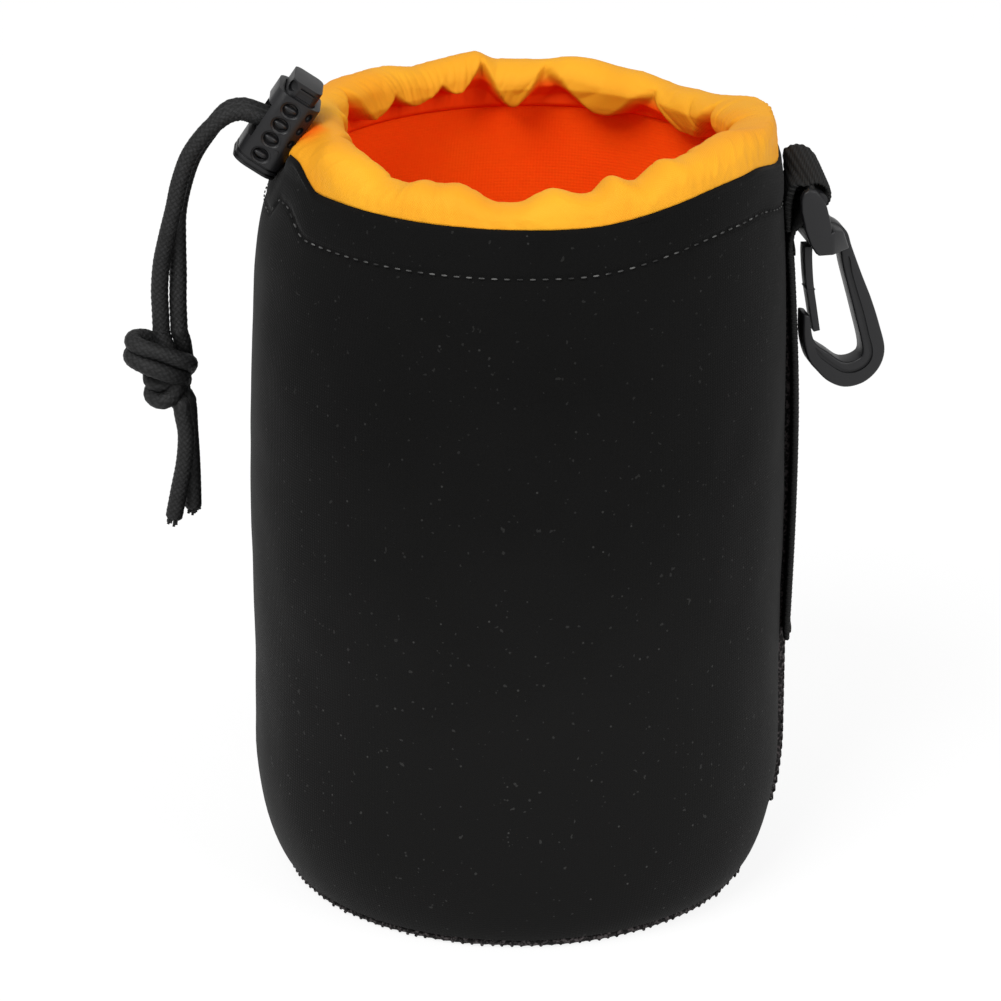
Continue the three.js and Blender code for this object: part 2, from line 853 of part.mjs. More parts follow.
// The base block under the webbing, which joins the two cheeks.
function baseOutline() {
  const shape = new THREE.Shape();
  const blockShares = [
    [-0.06, -baseBottomShare],
    [-0.07, -0.235],
    [-0.04, -0.19],
    [0.19, -0.135],
    [0.32, -0.17],
    [0.37, -baseBottomShare],
  ];
  const points = blockShares.map(hookPoint);
  shape.setFromPoints(points);
  return shape;
}

function hookFrame() {
  const cheekInside = webbingWidth / 2 + clearance + threadThickness / 2;
  const span = (cheekInside + cheekThickness) * 2;
  let frame = solidOf(plateGeometry(hookOutline(), hookThickness, hookEdge));
  frame = frame.add(solidOf(plateGeometry(baseOutline(), span)));
  for (const side of [-1, 1]) {
    const cheek = plateGeometry(cheekOutline(), cheekThickness);
    cheek.translate(0, side * (cheekInside + cheekThickness / 2), 0);
    frame = frame.add(solidOf(cheek));
  }
  const bar = new THREE.CylinderGeometry(hookBarRadius, hookBarRadius, span - cheekThickness, 16);
  bar.translate(hookBarX, 0, hookBarZ);
  frame = frame.add(solidOf(bar));
  return named("hook_frame", turned(geometryOf(frame)), plastic(plasticBlack));
}

// The springy tongue. Its root is at the base and its tip lies inside the nose.
function hookGate() {
  const line = new THREE.SplineCurve(gateShares.map(hookPoint)).getPoints(6);
  const root = line[0].clone();
  root.y = hookBarZ - baseBottomShare * hookLength - clearance;
  line.unshift(root);
  const geometry = bandGeometry(line, gateThickness, hookThickness - hookEdge * 2);
  return named("hook_gate", turned(geometry), plastic(plasticBlack));
}

const pouch = new THREE.Group();
pouch.add(neopreneWall(), wallLining(), baseDisc(), baseLining(), baseSeam(), sideSeam());
pouch.add(rimStitching(), gatheredCollar(), drawcordLoop(), drawcordKnot());
pouch.add(freeCord("drawcord_front_strand", frontStrandRoute, 11));
pouch.add(freeCord("drawcord_back_strand", backStrandRoute, 10));
pouch.add(freeCord("drawcord_front_tail", frontTailRoute, 4));
pouch.add(freeCord("drawcord_back_tail", backTailRoute, 4));
pouch.add(sideStrap(), ...bartacks());

const cordLock = new THREE.Group();
cordLock.position.set(lockX, lockY, lockZ);
cordLock.rotation.y = lockTilt * degree;
cordLock.add(lockBarrel(), lockPlunger(), lockSpring());

const snapHook = new THREE.Group();
snapHook.add(hookFrame(), hookGate());

const lensPouch = new THREE.Group();
lensPouch.add(pouch, cordLock, snapHook);
export default lensPouch;
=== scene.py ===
import math
import bpy
import numpy as np
from mathutils import Matrix, Vector, noise


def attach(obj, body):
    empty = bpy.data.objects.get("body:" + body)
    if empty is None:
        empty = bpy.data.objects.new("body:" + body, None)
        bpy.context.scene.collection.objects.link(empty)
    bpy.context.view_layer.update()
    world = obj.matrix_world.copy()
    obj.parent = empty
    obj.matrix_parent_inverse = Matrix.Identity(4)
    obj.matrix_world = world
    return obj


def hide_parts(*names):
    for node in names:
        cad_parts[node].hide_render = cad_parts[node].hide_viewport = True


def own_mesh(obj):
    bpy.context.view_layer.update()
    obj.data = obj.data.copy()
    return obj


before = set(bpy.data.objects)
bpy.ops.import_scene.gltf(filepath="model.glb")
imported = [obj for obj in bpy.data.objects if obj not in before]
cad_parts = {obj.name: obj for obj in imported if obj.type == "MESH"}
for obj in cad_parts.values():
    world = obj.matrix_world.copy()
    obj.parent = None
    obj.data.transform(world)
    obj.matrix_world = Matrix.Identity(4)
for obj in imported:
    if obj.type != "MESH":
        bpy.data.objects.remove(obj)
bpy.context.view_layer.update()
mm = 0.001

# Camera: a long lens about 0.9 m away, 22 degrees above the pouch's middle.
# Its height and distance follow the ellipses of the rim and of the base in the photograph.
camera_data = bpy.data.cameras.new("photo_camera")
camera_data.lens = 181.8
camera_data.sensor_width = 36
camera_data.clip_end = 20
camera = bpy.data.objects.new("photo_camera", camera_data)
bpy.context.scene.collection.objects.link(camera)
camera_tilt = math.radians(22)
camera_distance = 900 * mm
camera.location = (
    -3.03 * mm,
    -camera_distance * math.cos(camera_tilt),
    68 * mm + camera_distance * math.sin(camera_tilt),
)
camera.rotation_euler = (math.pi / 2 - camera_tilt, 0, 0)
bpy.context.scene.camera = camera


# The drawcord's two free runs, from the cord lock down to the knot.
# It is a round cord, 3 mm thick, of black polyester yarns braided over a core.
cord_diameter = 3.0
cord_step = 0.19  # from ring to ring along a cord's mesh
braid_yarns = 8  # running each way round the cord
braid_pitch = 1.15  # along the cord, from one yarn to the next
yarn_level = 0.62  # a yarn's height where it neither rises nor dips
front_route = [
    (-45.95, -7.65, 142.5), (-47.7, -7.65, 142.8), (-50.2, -7.7, 142.0),
    (-53.4, -7.9, 139.3), (-56.4, -8.2, 135.2), (-58.2, -8.5, 130.4),
    (-59.3, -8.6, 125.6), (-60.6, -8.2, 120.5), (-61.7, -7.6, 115.5),
    (-62.2, -7.2, 110.5), (-62.15, -7.2, 106.0), (-62.1, -7.2, 102.7),
]
back_route = [
    (-45.95, -4.35, 142.5), (-47.7, -4.35, 142.8), (-50.1, -4.4, 142.0),
    (-53.0, -4.6, 138.6), (-55.9, -4.9, 134.2), (-57.7, -5.1, 129.2),
    (-58.8, -5.2, 124.0), (-59.0, -5.3, 119.0), (-59.0, -5.8, 113.0),
    (-59.1, -6.5, 108.0), (-59.0, -6.9, 102.7),
]


def lengths_along(line):
    """How far along the line each of its points lies."""
    return np.concatenate([[0], np.cumsum(np.linalg.norm(np.diff(line, axis=0), axis=1))])


def directions(line):
    """The direction of the line at each of its points."""
    ahead = np.gradient(line, axis=0)
    return ahead / np.linalg.norm(ahead, axis=1)[:, None]


def smooth_route(points, step):
    """The route as evenly spaced points on one smooth curve through the given ones."""
    p = np.array(points, float)
    p = np.vstack([2 * p[0] - p[1], p, 2 * p[-1] - p[-2]])
    dense = []
    for a, b, c, d in zip(p[:-3], p[1:-2], p[2:-1], p[3:]):
        for t in np.linspace(0, 1, 24, endpoint=False):
            dense.append(
                0.5 * (2 * b + (c - a) * t + (2 * a - 5 * b + 4 * c - d) * t**2
                       + (3 * b - a - 3 * c + d) * t**3)
            )
    dense.append(p[-2])
    dense = np.array(dense)
    along = lengths_along(dense)
    count = max(int(round(along[-1] / step)), 2)
    places = np.linspace(0, along[-1], count + 1)
    return np.stack([np.interp(places, along, dense[:, k]) for k in range(3)], 1)


def mesh_piece(name, points, faces):
    """A piece from its points in millimetres and its faces, shaded smooth."""
    mesh = bpy.data.meshes.new(name)
    mesh.from_pydata([tuple(v) for v in points * mm], [], faces)
    for polygon in mesh.polygons:
        polygon.use_smooth = True
    piece = bpy.data.objects.new(name, mesh)
    bpy.context.scene.collection.objects.link(piece)
    return piece


def grid_mesh(name, rings, along=False, caps=False, uv=None):
    """A mesh from equal rings of points: closed along the rings too, or capped at both ends."""
    rings = np.asarray(rings, float)
    rows, columns = rings.shape[:2]
    faces = []
    face_uv = []
    for i in range(rows if along else rows - 1):
        k = (i + 1) % rows
        for j in range(columns):
            n = (j + 1) % columns
            faces.append((i * columns + j, i * columns + n, k * columns + n, k * columns + j))
            face_uv.append(((i, j), (i, j + 1), (i + 1, j + 1), (i + 1, j)))
    if caps:
        faces.append(tuple(reversed(range(columns))))
        face_uv.append(tuple((0, j) for j in reversed(range(columns))))
        last = (rows - 1) * columns
        faces.append(tuple(range(last, last + columns)))
        face_uv.append(tuple((rows - 1, j) for j in range(columns)))
    piece = mesh_piece(name, rings.reshape(-1, 3), faces)
    if uv is not None:
        layer = piece.data.uv_layers.new(name="UVMap")
        u, v = uv
        flat = [c for corners in face_uv for (i, j) in corners for c in (u[j] * mm, v[i] * mm)]
        layer.data.foreach_set("uv", flat)
    piece.data.update()
    return piece


def braid_height(turn, length):
    """The relief of a round braid: two families of yarns that pass over and under each other."""
    a = braid_yarns * turn + length / braid_pitch
    b = braid_yarns * turn - length / braid_pitch
    over = 1 - 2 * ((np.floor(a) + np.floor(b)) % 2)
    ridge_a = np.abs(np.sin(np.pi * a))
    ridge_b = np.abs(np.sin(np.pi * b))
    height_a = ridge_a**0.7 * (yarn_level + 0.38 * over * ridge_b)
    height_b = ridge_b**0.7 * (yarn_level - 0.38 * over * ridge_a)
    return np.maximum(height_a, height_b)


def cord_rings(line, sides, radius, relief=0.16):
    """Rings round a line, carried along it without twist, with the braid's relief."""
    tangent = directions(line)
    side = np.cross(tangent[0], (0.1, 1, 0.05))
    side /= np.linalg.norm(side)
    length = lengths_along(line)
    turn = np.arange(sides) / sides
    rings = []
    for point, t, s in zip(line, tangent, length):
        side = side - t * side.dot(t)
        side /= np.linalg.norm(side)
        other = np.cross(t, side)
        r = radius + relief * (braid_height(turn, s) - yarn_level)
        angle = 2 * np.pi * turn
        rings.append(point + np.outer(r * np.cos(angle), side) + np.outer(r * np.sin(angle), other))
    u = np.arange(sides + 1) / sides * 2 * np.pi * radius
    return np.array(rings), (u, np.append(length, length[-1]))


class Signal:
    """One output socket of a material's nodes, which varies over the surface."""

    def __init__(self, tree, socket):
        self.tree = tree
        self.socket = socket

    def node(self, kind, settings=(), sockets=(), out=0):
        made = self.tree.nodes.new(kind)
        for key, value in dict(settings).items():
            setattr(made, key, value)
        for key, value in dict(sockets).items():
            if isinstance(value, Signal):
                self.tree.links.new(value.socket, made.inputs[key])
            else:
                made.inputs[key].default_value = value
        return Signal(self.tree, made.outputs[out])

    def math(self, operation, *others, first=None):
        values = [self if first is None else first, *others]
        return self.node(
            "ShaderNodeMath", {"operation": operation}, {i: v for i, v in enumerate(values)}
        )

    def __add__(self, other):
        return self.math("ADD", other)

    __radd__ = __add__

    def __mul__(self, other):
        return self.math("MULTIPLY", other)

    __rmul__ = __mul__

    def __sub__(self, other):
        return self.math("SUBTRACT", other)

    def __rsub__(self, other):
        return self.math("SUBTRACT", self, first=other)

    def __truediv__(self, other):
        return self.math("DIVIDE", other)

    def sine(self):
        return self.math("SINE")

    def size(self):
        return self.math("ABSOLUTE")

    def above(self, edge, width):
        """0 below the edge and 1 above it, with a soft step of that width."""
        return self.node(
            "ShaderNodeMapRange",
            {"interpolation_type": "SMOOTHSTEP"},
            {"Value": self, "From Min": edge - width / 2, "From Max": edge + width / 2},
        )

    def mix(self, low, high):
        """From one colour to another as this value goes from 0 to 1."""
        low, high = (c if isinstance(c, Signal) else (*c, 1) for c in (low, high))
        return self.node("ShaderNodeMix", {"data_type": "RGBA"}, {0: self, 6: low, 7: high}, out=2)

    def grain(self, scale, **detail):
        """Noise over this place, finer as the scale grows."""
        return self.node("ShaderNodeTexNoise", {}, {"Vector": self, "Scale": scale, **detail})


def finish_of(name, colour, roughness, **constants):
    """A new material: its Principled shader, its object coordinates and its UV map."""
    material = bpy.data.materials.new(name)
    material.use_nodes = True
    tree = material.node_tree
    shader = tree.nodes["Principled BSDF"]
    shader.inputs["Base Color"].default_value = (*colour, 1)
    shader.inputs["Roughness"].default_value = roughness
    for key, value in constants.items():
        shader.inputs[key.replace("_", " ")].default_value = value
    coordinates = tree.nodes.new("ShaderNodeTexCoord")
    place = Signal(tree, coordinates.outputs["Object"])
    cloth = Signal(tree, coordinates.outputs["UV"])
    return material, shader, place, cloth


def connect(shader, **links):
    for key, value in links.items():
        value.tree.links.new(value.socket, shader.inputs[key.replace("_", " ")])


def raise_bump(shader, height, strength, distance):
    bump = height.node(
        "ShaderNodeBump", {}, {"Height": height, "Strength": strength, "Distance": distance}
    )
    connect(shader, Normal=bump)


def split(signal):
    parts = signal.node("ShaderNodeSeparateXYZ", {}, {0: signal})
    outputs = parts.socket.node.outputs
    return [Signal(signal.tree, outputs[i]) for i in range(3)]


cord_finish, cord_shader, cord_place, cord_cloth = finish_of(
    "braided_cord_black", (0.012, 0.012, 0.0125), 0.6, Specular_IOR_Level=0.3
)
cord_u, cord_v, _ = split(cord_cloth)
yarn_pitch = braid_pitch * mm
yarn_around = math.pi * cord_diameter * mm / braid_yarns
yarn_a = (cord_u / yarn_around + cord_v / yarn_pitch) * math.pi
yarn_b = (cord_u / yarn_around - cord_v / yarn_pitch) * math.pi
crossing = (yarn_a / math.pi).math("FLOOR") + (yarn_b / math.pi).math("FLOOR")
a_on_top = (crossing * 0.5).math("FRACT") * 2
# The yarns' crowns are painted lighter and the gaps between them darker: painted highlights and
# painted shade of the braid.
painted_yarn_highlight = a_on_top * yarn_a.sine().size() + (1 - a_on_top) * yarn_b.sine().size()
filaments = ((yarn_a * 7).sine() + (yarn_b * 7).sine()) * 0.5
cord_fuzz = cord_place.grain(1400.0)
# The painted highlights, with random fuzz, lift the cord's black colour.
painted_highlight_and_fuzz = (painted_yarn_highlight * 0.5 + cord_fuzz * 0.6).above(0.72, 0.5)
connect(cord_shader, Base_Color=painted_highlight_and_fuzz.mix((0.002, 0.002, 0.002), (0.0155, 0.0155, 0.016)))
raise_bump(cord_shader, filaments * 0.35 + cord_fuzz * 0.5, 0.6, 0.12 * mm)


def finish_piece(piece, finish, slot, body, *nodes):
    """The material, body and replaced nodes of a finished piece. Its slot is not used."""
    piece.data.materials.clear()
    piece.data.materials.append(finish)
    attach(piece, body)
    if nodes:
        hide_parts(*nodes)
    return piece


def cord_piece(name, line, node, sides=48, radius=cord_diameter / 2):
    rings, uv = cord_rings(line, sides, radius)
    piece = grid_mesh(name, rings, caps=True, uv=uv)
    return finish_piece(piece, cord_finish, "cord_black", "pouch", node)


front_line = smooth_route(front_route, cord_step)
back_line = smooth_route(back_route, cord_step)
front_strand = cord_piece("cord_front_strand", front_line, "drawcord_front_strand")
back_strand = cord_piece("cord_back_strand", back_line, "drawcord_back_strand")


# The knot: both runs tied together in one overhand knot, pulled tight.
# They turn round at its foot, pass behind and over the front, and leave below as the tails.
knot_route = [
    # middle of the pair, and half the way from one cord to the other
    ((-60.55, -7.05, 103.3), (1.55, 0.15, 0.0)),
    ((-60.55, -7.05, 102.6), (1.55, 0.15, 0.0)),
    ((-60.0, -6.8, 100.4), (1.5, 0.6, 0.0)),
    ((-59.3, -6.4, 97.6), (1.0, 1.2, 0.2)),
    ((-58.9, -6.6, 94.9), (0.8, 1.2, 0.5)),
    ((-59.9, -7.9, 92.8), (0.3, 0.9, 1.1)),
    ((-62.2, -8.7, 91.9), (-0.1, 0.5, 1.4)),
    ((-64.0, -7.3, 92.3), (0.0, 0.1, 1.3)),
    ((-63.5, -4.9, 94.0), (-0.3, -0.4, 1.4)),
    ((-62.8, -3.9, 96.6), (0.1, -0.5, 1.4)),
    ((-64.6, -4.1, 99.0), (0.1, -0.4, 1.3)),
    ((-66.8, -5.5, 99.6), (0.15, -0.2, 1.35)),
    ((-67.1, -8.0, 99.5), (0.15, 0.1, 1.35)),
    ((-65.2, -9.9, 99.0), (0.1, 0.3, 1.35)),
    ((-62.4, -10.4, 98.2), (0.2, 0.4, 1.45)),
    ((-59.8, -9.8, 97.0), (0.5, 0.2, 1.4)),
    ((-58.1, -7.9, 95.8), (0.6, -0.1, 1.4)),
    ((-58.2, -5.6, 94.2), (0.5, 0.2, 1.35)),
    ((-59.4, -4.9, 92.2), (0.3, 0.9, 1.1)),
    ((-59.2, -6.1, 90.4), (0.3, 1.5, 0.5)),
    ((-58.4, -7.0, 89.5), (0.4, 1.6, 0.0)),
    ((-58.3, -7.0, 88.6), (0.4, 1.65, 0.0)),
]


def select_only(*pieces):
    """These pieces selected and nothing else, with the first of them active."""
    bpy.ops.object.select_all(action="DESELECT")
    for piece in pieces:
        piece.select_set(True)
    bpy.context.view_layer.objects.active = pieces[0]


def join_pieces(name, pieces):
    select_only(*pieces)
    bpy.ops.object.join()
    pieces[0].name = name
    return pieces[0]


knot_cords = []
for sign in (-1, 1):
    route = [np.array(p) + sign * np.array(o) for p, o in knot_route]
    rings, uv = cord_rings(smooth_route(route, 0.21), 40, cord_diameter / 2)
    knot_cords.append(grid_mesh("knot_cord", rings, caps=True, uv=uv))
knot = join_pieces("cord_knot", knot_cords)
finish_piece(knot, cord_finish, "cord_black", "pouch", "drawcord_knot")


# The two tails below the knot, cut off with scissors. Their yarns fray at the cut.
# They hang one before the other and part towards their ends.
front_tail_route = [
    (-58.8, -8.6, 89.2), (-58.6, -8.7, 87.6), (-58.1, -8.7, 84.0),
    (-58.5, -8.6, 79.0), (-59.6, -8.4, 73.5), (-60.7, -8.3, 68.0),
]
back_tail_route = [
    (-58.0, -5.4, 89.2), (-57.8, -5.3, 87.6), (-57.7, -5.3, 84.0),
    (-57.5, -5.4, 79.0), (-57.4, -5.6, 74.0), (-57.4, -5.8, 69.0),
]


def fray(line, seed, threads=17):
    """Loose yarn ends past the cut end of a tail, each a thin bent tube."""
    end = line[-1]
    along = (line[-1] - line[-6]) / np.linalg.norm(line[-1] - line[-6])
    side = np.cross(along, (0, 1, 0))
    side /= np.linalg.norm(side)
    other = np.cross(along, side)
    made = []
    for k in range(threads):
        angle = 2 * math.pi * (k * 0.618 + seed)
        out = 0.2 + 0.95 * ((k * 0.37 + seed) % 1)
        reach = 0.2 + 0.9 * ((k * 0.71 + seed * 3) % 1)
        spread = side * math.cos(angle) + other * math.sin(angle)
        root = end + spread * out - along * 0.6
        yarn = [
            root, root + along * (0.5 + reach * 0.5),
            root + along * (0.6 + reach) + spread * 0.25 * reach,
        ]
        rings, uv = cord_rings(smooth_route(yarn, 0.3), 6, 0.24, relief=0)
        made.append(grid_mesh("yarn_end", rings, caps=True, uv=uv))
    return made


for name, route, node, seed in (
    ("cord_front_tail", front_tail_route, "drawcord_front_tail", 0.13),
    ("cord_back_tail", back_tail_route, "drawcord_back_tail", 0.55),
):
    line = smooth_route(route, cord_step)
    rings, uv = cord_rings(line, 48, cord_diameter / 2)
    for k, share in enumerate((0.8, 0.92, 0.98)):
        rings[-1 - k] = line[-1 - k] + (rings[-1 - k] - line[-1 - k]) * share
    tail = grid_mesh(name, rings, caps=True, uv=uv)
    join_pieces(name, [tail, *fray(line, seed)])
    finish_piece(tail, cord_finish, "cord_black", "pouch", node)


# The drawcord inside the collar: in through the lock, once round the mouth and out again.
# It lies just under the collar's crest, which rises and falls with the gathers.
mouth_shift = 2.0
cord_circle = 38.0
crest_to_cord = 2.6
dent_angle = 188.6
dent_depth = 3.0
# Angle round the mouth, and the height of the collar's crest there.
crest_heights = [
    (0, 139.6), (10, 139.4), (21.5, 138.4), (34, 136.6), (50, 135.8), (58.5, 137.1), (66, 137.3),
    (74, 138.4), (79, 138.6), (85, 138.0), (92, 137.8), (99, 138.0), (103.6, 139.9), (108, 139.5),
    (114, 138.9), (122, 138.3), (129, 139.4), (138.6, 139.8), (149, 139.9), (165, 140.2),
    (188, 140.8), (200, 141.3), (212.6, 141.6), (220.5, 140.8), (226, 139.6), (230.5, 137.9),
    (236.6, 137.8), (241.3, 139.2), (245.4, 138.8), (251.7, 139.3), (256, 138.2), (260, 136.6),
    (267.8, 136.6), (271.7, 138.2), (276, 139.1), (283, 137.6), (286.5, 137.8), (291, 140.7),
    (295.8, 139.1), (299, 139.0), (306, 142.0), (311, 141.2), (316.7, 141.6), (326, 142.2),
    (335, 142.3), (346, 140.9), (360, 139.6),
]
crest_angle, crest_z = np.array(crest_heights).T
collar_columns = 760
collar_degrees = np.arange(collar_columns) * 360 / collar_columns
crest = np.interp(collar_degrees, crest_angle, crest_z)
for _ in range(10):
    crest = (np.roll(crest, 1) + 2 * crest + np.roll(crest, -1)) / 4


def soft_step(value):
    value = np.clip(value, 0, 1)
    return value * value * (3 - 2 * value)


def dent(degrees):
    """How far the collar is pushed in where the cord lock lies against it, from 0 to 1."""
    away = np.abs((np.asarray(degrees, float) - dent_angle + 540) % 360 - 180)
    return soft_step((26 - away) / 16)


loop_route = [
    (-46.7, -7.65, 142.68), (-45.95, -7.65, 142.5), (-42.1, -7.65, 141.0),
    (-37.45, -7.65, 139.15), (-33.9, -7.95, 137.7),
]
for d in np.linspace(dent_angle + 13, dent_angle + 347, 60):
    radius = cord_circle - dent_depth * float(dent(d))
    height = min(float(np.interp(d % 360, collar_degrees, crest)) - crest_to_cord, 137.6)
    angle = math.radians(d)
    loop_route.append((mouth_shift + radius * math.cos(angle), radius * math.sin(angle), height))
loop_route += [
    (-33.9, -4.05, 137.7), (-37.45, -4.35, 139.15), (-42.1, -4.35, 141.0),
    (-45.95, -4.35, 142.5), (-46.7, -4.35, 142.68),
]
cord_piece("cord_in_collar", smooth_route(loop_route, 0.4), "drawcord_loop", sides=32)


# The padded wall: foam rubber 3.4 mm thick with black jersey on its outside.
# It is one panel, rolled into a tube, drawn in at the top and rounded in at the foot.
body_radius = 47.2
rim_radius = 43.5
foot_radius = 39.0
wall_top = 133.5
wall_bottom = 1.9
foot_height = 24.0
taper_start = 80
lean_start = 95
neoprene = 3.4
lip = 0.9  # the radius of the turn at the rim's edge
disc_room = 40.0  # the least radius inside the foot, where the base's disc fits


def lean(z):
    """The mouth leans towards the strap, by this much at each height."""
    share = np.clip((np.asarray(z, float) - lean_start) / (wall_top - lean_start), 0, 1)
    return mouth_shift * share * share


def outer_radius(z):
    z = np.asarray(z, float)
    share = np.clip((foot_height - z) / (foot_height + 0.01), 0, 1)
    foot = foot_radius + (body_radius - foot_radius) * np.sqrt(np.maximum(1 - share**2, 0))
    taper = np.maximum((z - taper_start) / (wall_top - taper_start), 0)
    upper = body_radius - (body_radius - rim_radius) * taper**2.5
    return np.where(z < foot_height, foot, upper)


def inner_radius(z):
    """The wall's inside, which keeps room for the base's disc at the foot."""
    inner = float(outer_radius(z)) - neoprene
    return max(inner, disc_room) if z < foot_height else inner


def rim_rise(degrees):
    """The rim stands up at the front right, by the strap's loop, and beside the cord lock."""
    d = np.asarray(degrees, float) % 360
    by_strap = 3.2 * soft_step((d - 280) / 42) * (1 - soft_step((d - 330) / 24))
    by_lock = 3.5 * soft_step((d - 192.9) / 5.5) * (1 - soft_step((d - 202) / 12))
    return by_strap + by_lock


def left_bulge(d, z):
    """The wall stands out a little under the cord lock, which pulls its rim in."""
    return 0.8 * math.exp(-(((d - 186) / 26) ** 2) - ((z - 121) / 8) ** 2)


def swell(x, y, z, cell):
    """Soft random unevenness, from about -1 to 1, with hollows and swells of the cell's size."""
    return noise.noise(Vector((x, y, z)) / cell)


def ring_swell(radius, a, z, cell=1):
    """The same on a circle, at the angle a, so that it closes on itself after a turn."""
    return swell(radius * math.cos(a), radius * math.sin(a), z, cell)


def level_ring(radius, z, angles, shift=0.0):
    """A ring of points at one height, or with a radius and a height for each angle."""
    x = shift + radius * np.cos(angles)
    return np.stack([x, radius * np.sin(angles), np.broadcast_to(z, x.shape)], 1)


columns = 320
degrees = np.arange(columns) * 360 / columns
radians = np.radians(degrees)
stitch_drop = 8.0
stitch_count = 132


def wall_outside(z_share):
    """One ring of the outside: z_share runs from 0 at the foot to 1 at the lip."""
    ring = []
    for d, a in zip(degrees, radians):
        top = wall_top + float(rim_rise(d)) - lip
        z = wall_bottom + (top - wall_bottom) * z_share
        flat_z = min(z, wall_top)
        r = float(outer_radius(flat_z))
        x, y = r * math.cos(a), r * math.sin(a)
        fade = min(z_share * 9, 1) * min((1 - z_share) * 14 + 0.25, 1)
        r += fade * (0.45 * swell(x, y, z, 27) + 0.16 * swell(x + 40, y, z, 9))
        r += left_bulge(d, z)
        # the stitches pull the foam in, and it swells between them and the rim
        below = z - (top + lip - stitch_drop)
        pull = 0.72 + 0.28 * math.cos(a * stitch_count)
        r -= 0.42 * pull * math.exp(-((below / 0.7) ** 2))
        r += 0.22 * math.exp(-(((below - 3.6) / 2.6) ** 2))
        ring.append((float(lean(flat_z)) + r * math.cos(a), r * math.sin(a), z))
    return ring


shares = np.concatenate([
    0.17 * (1 - np.cos(np.linspace(0, np.pi / 2, 16, endpoint=False))),
    np.linspace(0.17, 0.9, 70, endpoint=False), np.linspace(0.9, 1, 34),
])
rings = [wall_outside(share) for share in shares]
lip_z = wall_top + rim_rise(degrees) - lip
edge_bumps = 0.22 * np.sin(radians * 150) ** 2
for t in np.radians(np.linspace(12, 90, 6)):
    r = rim_radius - lip + (lip + edge_bumps) * math.cos(t)
    rings.append(level_ring(r, lip_z + lip * math.sin(t), radians, mouth_shift))
for t in np.radians(np.linspace(0, 90, 4)):
    r = rim_radius - neoprene + lip - lip * math.sin(t)
    rings.append(level_ring(r, lip_z + lip * math.cos(t), radians, mouth_shift))
for z in np.concatenate([np.linspace(131, 24, 16), np.linspace(20, wall_bottom, 6)]):
    rings.append(level_ring(inner_radius(z), z, radians, float(lean(z))))
rings = np.array(rings)
run = lengths_along(rings[:, 0])
wall = grid_mesh(
    "padded_wall", rings, along=True,
    uv=(np.arange(columns + 1) / columns * 2 * np.pi * body_radius, np.append(run, run[-1] + 2)),
)

jersey, jersey_shader, jersey_place, jersey_cloth = finish_of(
    "black_jersey", (0.005, 0.005, 0.005), 0.95,
    Specular_IOR_Level=0.07, Sheen_Weight=0.065, Sheen_Roughness=0.4,
)
wale_u, course_v, _ = split(jersey_cloth)
wales = (wale_u * (2 * math.pi / (0.62 * mm))).sine()
courses = (course_v * (2 * math.pi / (0.5 * mm)) + wales * 1.2).sine()
knit = wales * 0.3 + courses * 0.5
mottle = jersey_place.grain(45.0, Detail=4.0)
fuzz = jersey_place.grain(2600.0)
specks = jersey_place.node(
    "ShaderNodeTexVoronoi", {"feature": "F1"}, {"Vector": jersey_place, "Scale": 620.0}
)
speck_chance, speck_size, _ = split(Signal(specks.tree, specks.socket.node.outputs["Color"]))
speck = (1 - specks.above(0.12, 0.08)) * speck_chance.above(0.8, 0.04) * (speck_size * 0.8 + 0.2)
lint = jersey_place.grain(900.0, Detail=1.0).above(0.74, 0.03)
# Lighter towards the foot: painted light from the floor on the lower wall, and more lint specks
# there.
low_lint_and_floor_light = 1 - split(jersey_place)[2].above(60 * mm, 100 * mm)
cloth_tone = (mottle * 0.5 + fuzz * 0.35 + low_lint_and_floor_light * 0.8).mix(
    (0.0018, 0.0018, 0.0018), (0.0068, 0.0067, 0.0066)
)
flecks = (speck + lint * 0.4) * (0.4 + low_lint_and_floor_light * 0.5)
connect(jersey_shader, Base_Color=flecks.mix(cloth_tone, (0.06, 0.06, 0.058)))
raise_bump(jersey_shader, knit * 0.4 + fuzz * 0.8, 0.5, 0.12 * mm)
finish_piece(wall, jersey, "jersey_black", "pouch", "neoprene_wall")


# The base: a disc of the same foam rubber, with the jersey on its underside.
# It bulges a little between the seam that holds it and the surface that it stands on.
disc_radius = 39.5
disc_width = 260  # the cloth's coordinate round the disc, and round the lining's
coarse = radians[::2]
coarse_shares = np.arange(len(coarse) + 1) / len(coarse)
disc_rings = []
for share in np.linspace(0.02, 1, 26):
    r = disc_radius * share
    dome = 0.12 * (1 - share**2)
    z = [dome + 0.05 + 0.05 * ring_swell(r, a, 0, 12) for a in coarse]
    disc_rings.append(level_ring(r, z, coarse))
disc_rings[-1][:, 2] = 0.55
top_rings = [(39.4 * share, 3.2) for share in np.linspace(0.98, 0.02, 8)]
for r, z in [(39.65, 1.0), (39.65, 2.6), (39.4, 3.1), *top_rings]:
    disc_rings.append(level_ring(r, z, coarse))
disc = grid_mesh(
    "base_panel", np.array(disc_rings)[:, ::-1], caps=True,
    uv=(coarse_shares * disc_width, np.arange(len(disc_rings) + 1) * 1.65),
)
finish_piece(disc, jersey, "jersey_black", "pouch", "base_disc")


# The seam round the base: an overlocked ridge of black thread, one stitch after another.
# Each stitch is a short slanted loop of thread round the two raw edges.
thread_black, thread_shader, thread_place, _ = finish_of(
    "black_thread", (0.01, 0.009, 0.009), 0.75, Specular_IOR_Level=0.2
)
thread_grain_and_glints = thread_place.grain(1800.0)
# Bright specks in the thread's colour are painted glints on its fibres.
connect(
    thread_shader,
    Base_Color=thread_grain_and_glints.above(0.56, 0.24).mix((0.0035, 0.003, 0.003), (0.075, 0.065, 0.066)),
)
raise_bump(thread_shader, thread_grain_and_glints, 0.6, 0.1 * mm)


